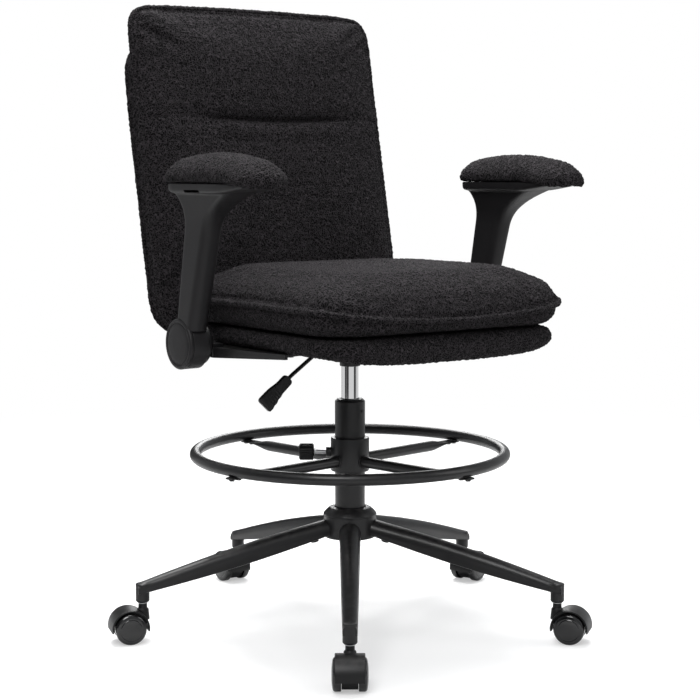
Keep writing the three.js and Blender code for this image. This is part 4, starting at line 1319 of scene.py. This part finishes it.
def lever_grip(drop):
    """Upright paddle that widens to its tip, with finger steps below, along the drop of the bar."""
    length = math.dist(LEVER_TIP, LEVER_KNEE)
    outline = rounded([(8, 9.2), (-14, 9.8), (-30, 13.6), (-length, 15), (-length + 3, -14.4),
                       (-length + 9, -14.6), (-length + 13, -12.8), (-length + 21, -13.2),
                       (-length + 25, -10.6), (-length + 34, -10.8), (-length + 38, -9.2), (8, -9.2)],
                      6, 5, closed=True)
    outline = even_outline(outline, 1.4)
    rows = []
    for scale, depth in ((0.93, 3.9), (0.97, 3.6), (1, 2.4), (1, -2.4), (0.97, -3.6), (0.93, -3.9)):
        along, across = -outline[:, 0] * scale, outline[:, 1] * scale
        rows.append(np.column_stack([LEVER_KNEE[0] + drop.x * along + drop.y * across,
                                     np.full(len(along), depth),
                                     LEVER_KNEE[1] + drop.y * along - drop.x * across]))
    return mesh_object("lever_grip", skin(rows))


# ---- casters ----------------------------------------------------------------------
TRAIL, WHEEL_RADIUS = 23.0, 25.0


def local_object(name, *shapes):
    """A piece made on its own stem, to be copied to every leg."""
    return mesh_object(name, *shapes, at_axis=False)


def on_axle(shape, side=1):
    points, faces = shape
    p = np.asarray(points, float)
    return np.column_stack([p[:, 0] + TRAIL, side * p[:, 2], p[:, 1] + WHEEL_RADIUS]), faces


def arc_bar(section, start, end, steps=40):
    """A closed section of [radius, height] points swept round Z between two angles."""
    rows = []
    for a in np.radians(np.linspace(start, end, steps)):
        rows.append([(r * math.cos(a), r * math.sin(a), z) for r, z in section])
    return skin(rows)


def caster_body():
    """Hood over both wheels, the wall between them and the neck for the stem."""
    hood = rounded([(28.2, -22.4), (30.6, -22.4), (30.6, 22.4), (28.2, 22.4)], 1.6, 4, closed=True)
    wall = [(8, -12.2), (29.4, -12.2), (29.4, 12.2), (8, 12.2)]
    obj = local_object("caster_hood", on_axle(arc_bar(hood, -9, 189)))
    parts = [
        on_axle(arc_bar(wall, 12, 168)),
        on_axle(lathe([(0, -12.3), (22, -12.3), (22, 12.3), (0, 12.3)], 64, 1.0)),
        on_axle(lathe([(0, -24), (3, -24), (3, 24), (0, 24)], 24)),
        lathe([(0, 36), (11, 36), (9.4, 52.8), (7.2, 54.6), (7.0, 61.6), (0, 61.6)], 40, 0.8),
    ]
    boolean(obj, "UNION", *[local_object(f"part_{i}", part) for i, part in enumerate(parts)])
    return boolean(obj, "DIFFERENCE",
                   local_object("room", lathe([(0, 41), (4.6, 41), (4.6, 64), (0, 64)], 24)))


def caster_wheel(side):
    """Glossy domed wheel: a tread with round edges and a shallow ring on its face."""
    profile = [(3.5, 12.9), (24.2, 12.9), (25.0, 13.8), (25.0, 21.8), (24.3, 23.8), (22.4, 25.3),
               (18.6, 26.2), (17.6, 25.7), (16.4, 26.5), (9.0, 27.1), (0, 27.2), (0, 24.6), (3.5, 24.6),
               (3.5, 12.9)]
    return local_object("wheel", on_axle(lathe(profile, 72, 0.5, 3), side))


def caster_stem():
    return local_object("stem", lathe([
        (0, 42), (4, 42), (4, 62.4), (8.2, 62.4), (8.2, 63.9), (5.5, 63.9), (5.5, 92), (0, 92)], 40, 0.5))


def place_copy(obj, name, turn):
    """A copy of a piece made on its own stem, moved under one leg."""
    mesh = obj.data.copy()
    points = coordinates(mesh) / MM
    points = moved(turned(points, turn), (*outward(turn, SOCKET_REACH), 0))
    mesh.vertices.foreach_set("co", to_frame(points).ravel())
    mesh.update()
    twin = bpy.data.objects.new(name, mesh)
    bpy.context.scene.collection.objects.link(twin)
    return twin


def casters():
    makers = [(caster_body(), "cover", "caster_{}", "black_plastic", "caster_{}_body"),
              (caster_wheel(1), "left", "caster_{}_wheel_left", "gloss_plastic", "caster_{}_wheel_left"),
              (caster_wheel(-1), "right", "caster_{}_wheel_right", "gloss_plastic", "caster_{}_wheel_right"),
              (caster_stem(), "pin", "base", "zinc_steel", "caster_{}_stem")]
    for source, label, body, slot, node in makers:
        for number, turn in enumerate(LEG_TURNS, start=1):
            obj = place_copy(source, f"caster_{number}_{label}", turn)
            finish_piece(obj, body.format(number), slot, node.format(number))
        bpy.data.objects.remove(source)


# ---- the arms, left and right -----------------------------------------------------
def finish_arms():
    """Finishes the sitter's left arm, then mirrors it."""
    top = arm_pad()
    hard = [(arm_post(), "arm_{}", "grey_plastic", "post"), (arm_hub(), "arm_{}", "grey_plastic", "hub"),
            (arm_cap(), "arm_{}", "grey_plastic", "hub_cap"),
            (arm_bracket(), "seat", "black_steel", "bracket")]
    for source, body, slot, node in hard:
        twin = mirrored_copy(source, source.name.replace("left", "right"))
        finish_piece(source, body.format("left"), slot, f"arm_left_{node}")
        finish_piece(twin, body.format("right"), slot, f"arm_right_{node}")
    twin = mirrored_copy(top, "arm_right_top")
    soft_finish(top, "arm_left", 0.8, None, "arm_left_pad")
    soft_finish(twin, "arm_right", 0.8, None, "arm_right_pad")
    bracket_bolts()


def hidden_parts():
    """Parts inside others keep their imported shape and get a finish."""
    finishes = {"zinc_steel": ["thrust_bearing", "retaining_clip", "piston_rod", "release_pin",
                               "arm_left_pivot_pin", "arm_right_pivot_pin"],
                "plywood": ["seat_pan", "back_board"], "black_steel": ["back_bracket"]}
    for slot, names in finishes.items():
        for name in names:
            mesh = bpy.data.objects[name].data
            mesh.materials.clear()
            mesh.materials.append(material(slot))


# ---- stage ------------------------------------------------------------------------
def area_light(name, place, aim, size, power):
    data = bpy.data.lights.new(name, "AREA")
    data.shape = "RECTANGLE"
    data.size, data.size_y = size
    data.energy = power
    lamp = bpy.data.objects.new(name, data)
    lamp.location = place
    lamp.rotation_euler = (Vector(aim) - Vector(place)).to_track_quat("-Z", "Y").to_euler()
    bpy.context.scene.collection.objects.link(lamp)
    return lamp


def bays(n, place):
    """Light and dark bays of the studio wall round the chair, as a strength."""
    parts = n.add("ShaderNodeSeparateXYZ", {0: place})
    turn = n.math("ARCTAN2", parts.outputs[1], parts.outputs[0])
    broad = n.math("SINE", n.math("MULTIPLY_ADD", turn, 3.0, 1.1))
    narrow = n.math("SINE", n.math("MULTIPLY_ADD", turn, 8.0, 0.4))
    wave = n.math("MULTIPLY_ADD", narrow, 0.45, broad)
    return n.ramp(wave, -0.75, 0.0, 0.04, 0.70)


def floor_material():
    """Pale floor that turns plain white away from the chair; only its near part is lit."""
    made = bpy.data.materials.new("floor")
    made.use_nodes = True
    n = Nodes(made.node_tree)
    made.node_tree.nodes.clear()
    seen = n.add("ShaderNodeLightPath").outputs["Is Camera Ray"]
    place = n.add("ShaderNodeTexCoord").outputs["Object"]
    far = n.ramp(n.vector("DISTANCE", place, (0, 0, 0)).node.outputs["Value"], 0.6, 2.6)
    paper = n.add("ShaderNodeBsdfDiffuse", {"Color": (0.60, 0.60, 0.60, 1)})
    veil = n.add("ShaderNodeEmission", {"Color": (1, 1, 1, 1), "Strength": n.math("MULTIPLY", seen, 0.42)})
    near = n.add("ShaderNodeAddShader", {0: paper.outputs[0], 1: veil.outputs[0]})
    glow = n.math("MAXIMUM", bays(n, place), seen)
    white = n.add("ShaderNodeEmission", {"Color": (1, 1, 1, 1), "Strength": glow})
    both = n.add("ShaderNodeMixShader", {0: far, 1: near.outputs[0], 2: white.outputs[0]})
    n.add("ShaderNodeOutputMaterial", {0: both.outputs[0]})
    return made


def studio_world():
    """White behind the chair; to everything else a room with a bright ceiling and dark bays."""
    world = bpy.data.worlds.new("studio")
    world.use_nodes = True
    n = Nodes(world.node_tree)
    world.node_tree.nodes.clear()
    seen = n.add("ShaderNodeLightPath").outputs["Is Camera Ray"]
    way = n.add("ShaderNodeTexCoord").outputs["Generated"]
    height = n.add("ShaderNodeSeparateXYZ", {0: way}).outputs[2]
    ceiling = n.ramp(height, 0.25, 0.9, 0.0, 0.42)
    wall = n.math("MULTIPLY", bays(n, way), n.ramp(height, -0.1, 0.8, 1.0, 0.2))
    level = n.math("ADD", ceiling, wall)
    room = n.add("ShaderNodeBackground", {"Color": (0.95, 0.97, 1, 1), "Strength": level})
    white = n.add("ShaderNodeBackground", {"Color": (1, 1, 1, 1), "Strength": 1.0})
    both = n.add("ShaderNodeMixShader", {0: seen, 1: room.outputs[0], 2: white.outputs[0]})
    n.add("ShaderNodeOutputWorld", {0: both.outputs[0]})
    return world


def build_stage():
    scene = bpy.context.scene
    mesh = bpy.data.meshes.new("floor")
    points = [(14 * math.cos(a), 14 * math.sin(a), -0.0002) for a in np.linspace(0, 2 * math.pi, 64, False)]
    mesh.from_pydata(points, [], [tuple(range(64))])
    floor = bpy.data.objects.new("floor", mesh)
    mesh.materials.append(floor_material())
    scene.collection.objects.link(floor)
    scene.world = studio_world()
    aim = (0, 0, 0.45)
    area_light("key", (-1.9, -1.6, 2.5), aim, (1.3, 1.6), 62)
    area_light("fill", (1.9, -2.0, 1.5), aim, (1.2, 1.8), 20)
    area_light("top", (0.2, 0.6, 2.9), aim, (1.8, 1.8), 150)
    area_light("rim", (1.5, 2.1, 1.6), aim, (0.9, 1.6), 30)
    scene.view_settings.view_transform = "Standard"


def build_camera():
    scene, view = bpy.context.scene, bpy.context.scene.chair_view
    data = bpy.data.cameras.new("view")
    camera = bpy.data.objects.new("view", data)
    scene.collection.objects.link(camera)
    camera.location = (AXIS.x + view.distance * math.sin(view.turn),
                       AXIS.y - view.distance * math.cos(view.turn), view.height)
    camera.rotation_euler = (math.radians(90) - view.pitch, 0, view.turn)
    data.lens = view.lens
    data.sensor_width = 36
    scene.camera = camera


# ---- operators --------------------------------------------------------------------
class ChairOperator:
    """Shared by every operator of this add-on."""

    bl_options = {"REGISTER", "UNDO"}

    def execute(self, context):
        self.build()
        return {"FINISHED"}


class CHAIR_OT_stage(ChairOperator, bpy.types.Operator):
    """Add the floor, the lights and the camera"""

    bl_idname = "chair.stage"
    bl_label = "Stage and camera"

    def build(self):
        build_camera()
        build_stage()


class CHAIR_OT_seat(ChairOperator, bpy.types.Operator):
    """Make the two seat cushions and their rolled seam"""

    bl_idname = "chair.seat"
    bl_label = "Seat cushions"

    def build(self):
        upper_cushion()
        lower_cushion()


class CHAIR_OT_back(ChairOperator, bpy.types.Operator):
    """Make the front and rear pads of the back with their seams"""

    bl_idname = "chair.back"
    bl_label = "Back pads"

    def build(self):
        front_pad()
        rear_pad()


class CHAIR_OT_arms(ChairOperator, bpy.types.Operator):
    """Make both flip-up arms, their pads and their brackets"""

    bl_idname = "chair.arms"
    bl_label = "Arms"

    def build(self):
        finish_arms()


class CHAIR_OT_base(ChairOperator, bpy.types.Operator):
    """Make the hub, the five legs and their bolts"""

    bl_idname = "chair.base"
    bl_label = "Base"

    def build(self):
        hub()
        for number in range(LEGS):
            leg(number)
        leg_bolts()


class CHAIR_OT_column(ChairOperator, bpy.types.Operator):
    """Make the column and the gas lift"""

    bl_idname = "chair.column"
    bl_label = "Column and gas lift"

    def build(self):
        column()
        gas_lift()


class CHAIR_OT_ring(ChairOperator, bpy.types.Operator):
    """Make the foot ring, its spokes, welds, screws and clamp knob"""

    bl_idname = "chair.ring"
    bl_label = "Foot ring"

    def build(self):
        foot_ring()
        clamp_knob()


class CHAIR_OT_mechanism(ChairOperator, bpy.types.Operator):
    """Make the seat plate and the height lever"""

    bl_idname = "chair.mechanism"
    bl_label = "Mechanism and lever"

    def build(self):
        mechanism()
        lever()


class CHAIR_OT_casters(ChairOperator, bpy.types.Operator):
    """Make the five twin-wheel casters"""

    bl_idname = "chair.casters"
    bl_label = "Casters"

    def build(self):
        casters()


class CHAIR_OT_hidden(ChairOperator, bpy.types.Operator):
    """Give the parts that sit inside others their finishes"""

    bl_idname = "chair.hidden"
    bl_label = "Hidden parts"

    def build(self):
        hidden_parts()


OPERATORS = (CHAIR_OT_stage, CHAIR_OT_seat, CHAIR_OT_back, CHAIR_OT_arms, CHAIR_OT_base,
             CHAIR_OT_column, CHAIR_OT_ring, CHAIR_OT_mechanism, CHAIR_OT_casters, CHAIR_OT_hidden)
SETTINGS = {"chair_fabric": CHAIR_PG_fabric, "chair_finishes": CHAIR_PG_finishes, "chair_view": CHAIR_PG_view}


class CHAIR_PT_panel(bpy.types.Panel):
    """Lists the settings and the pieces in the sidebar"""

    bl_idname = "CHAIR_PT_panel"
    bl_label = "Drafting chair"
    bl_space_type = "VIEW_3D"
    bl_region_type = "UI"
    bl_category = "Chair"

    def draw(self, context):
        for name, group in SETTINGS.items():
            for key in group.__annotations__:
                self.layout.prop(getattr(context.scene, name), key)
        for operator in OPERATORS:
            self.layout.operator(operator.bl_idname)


def register():
    for item in (*SETTINGS.values(), *OPERATORS, CHAIR_PT_panel):
        bpy.utils.register_class(item)
    for name, group in SETTINGS.items():
        setattr(bpy.types.Scene, name, PointerProperty(type=group))


def unregister():
    for name in SETTINGS:
        delattr(bpy.types.Scene, name)
    for item in reversed((*SETTINGS.values(), *OPERATORS, CHAIR_PT_panel)):
        bpy.utils.unregister_class(item)


def main():
    register()
    for operator in OPERATORS:
        getattr(bpy.ops.chair, operator.bl_idname.split(".")[1])()


if __name__ == "__main__":
    main()
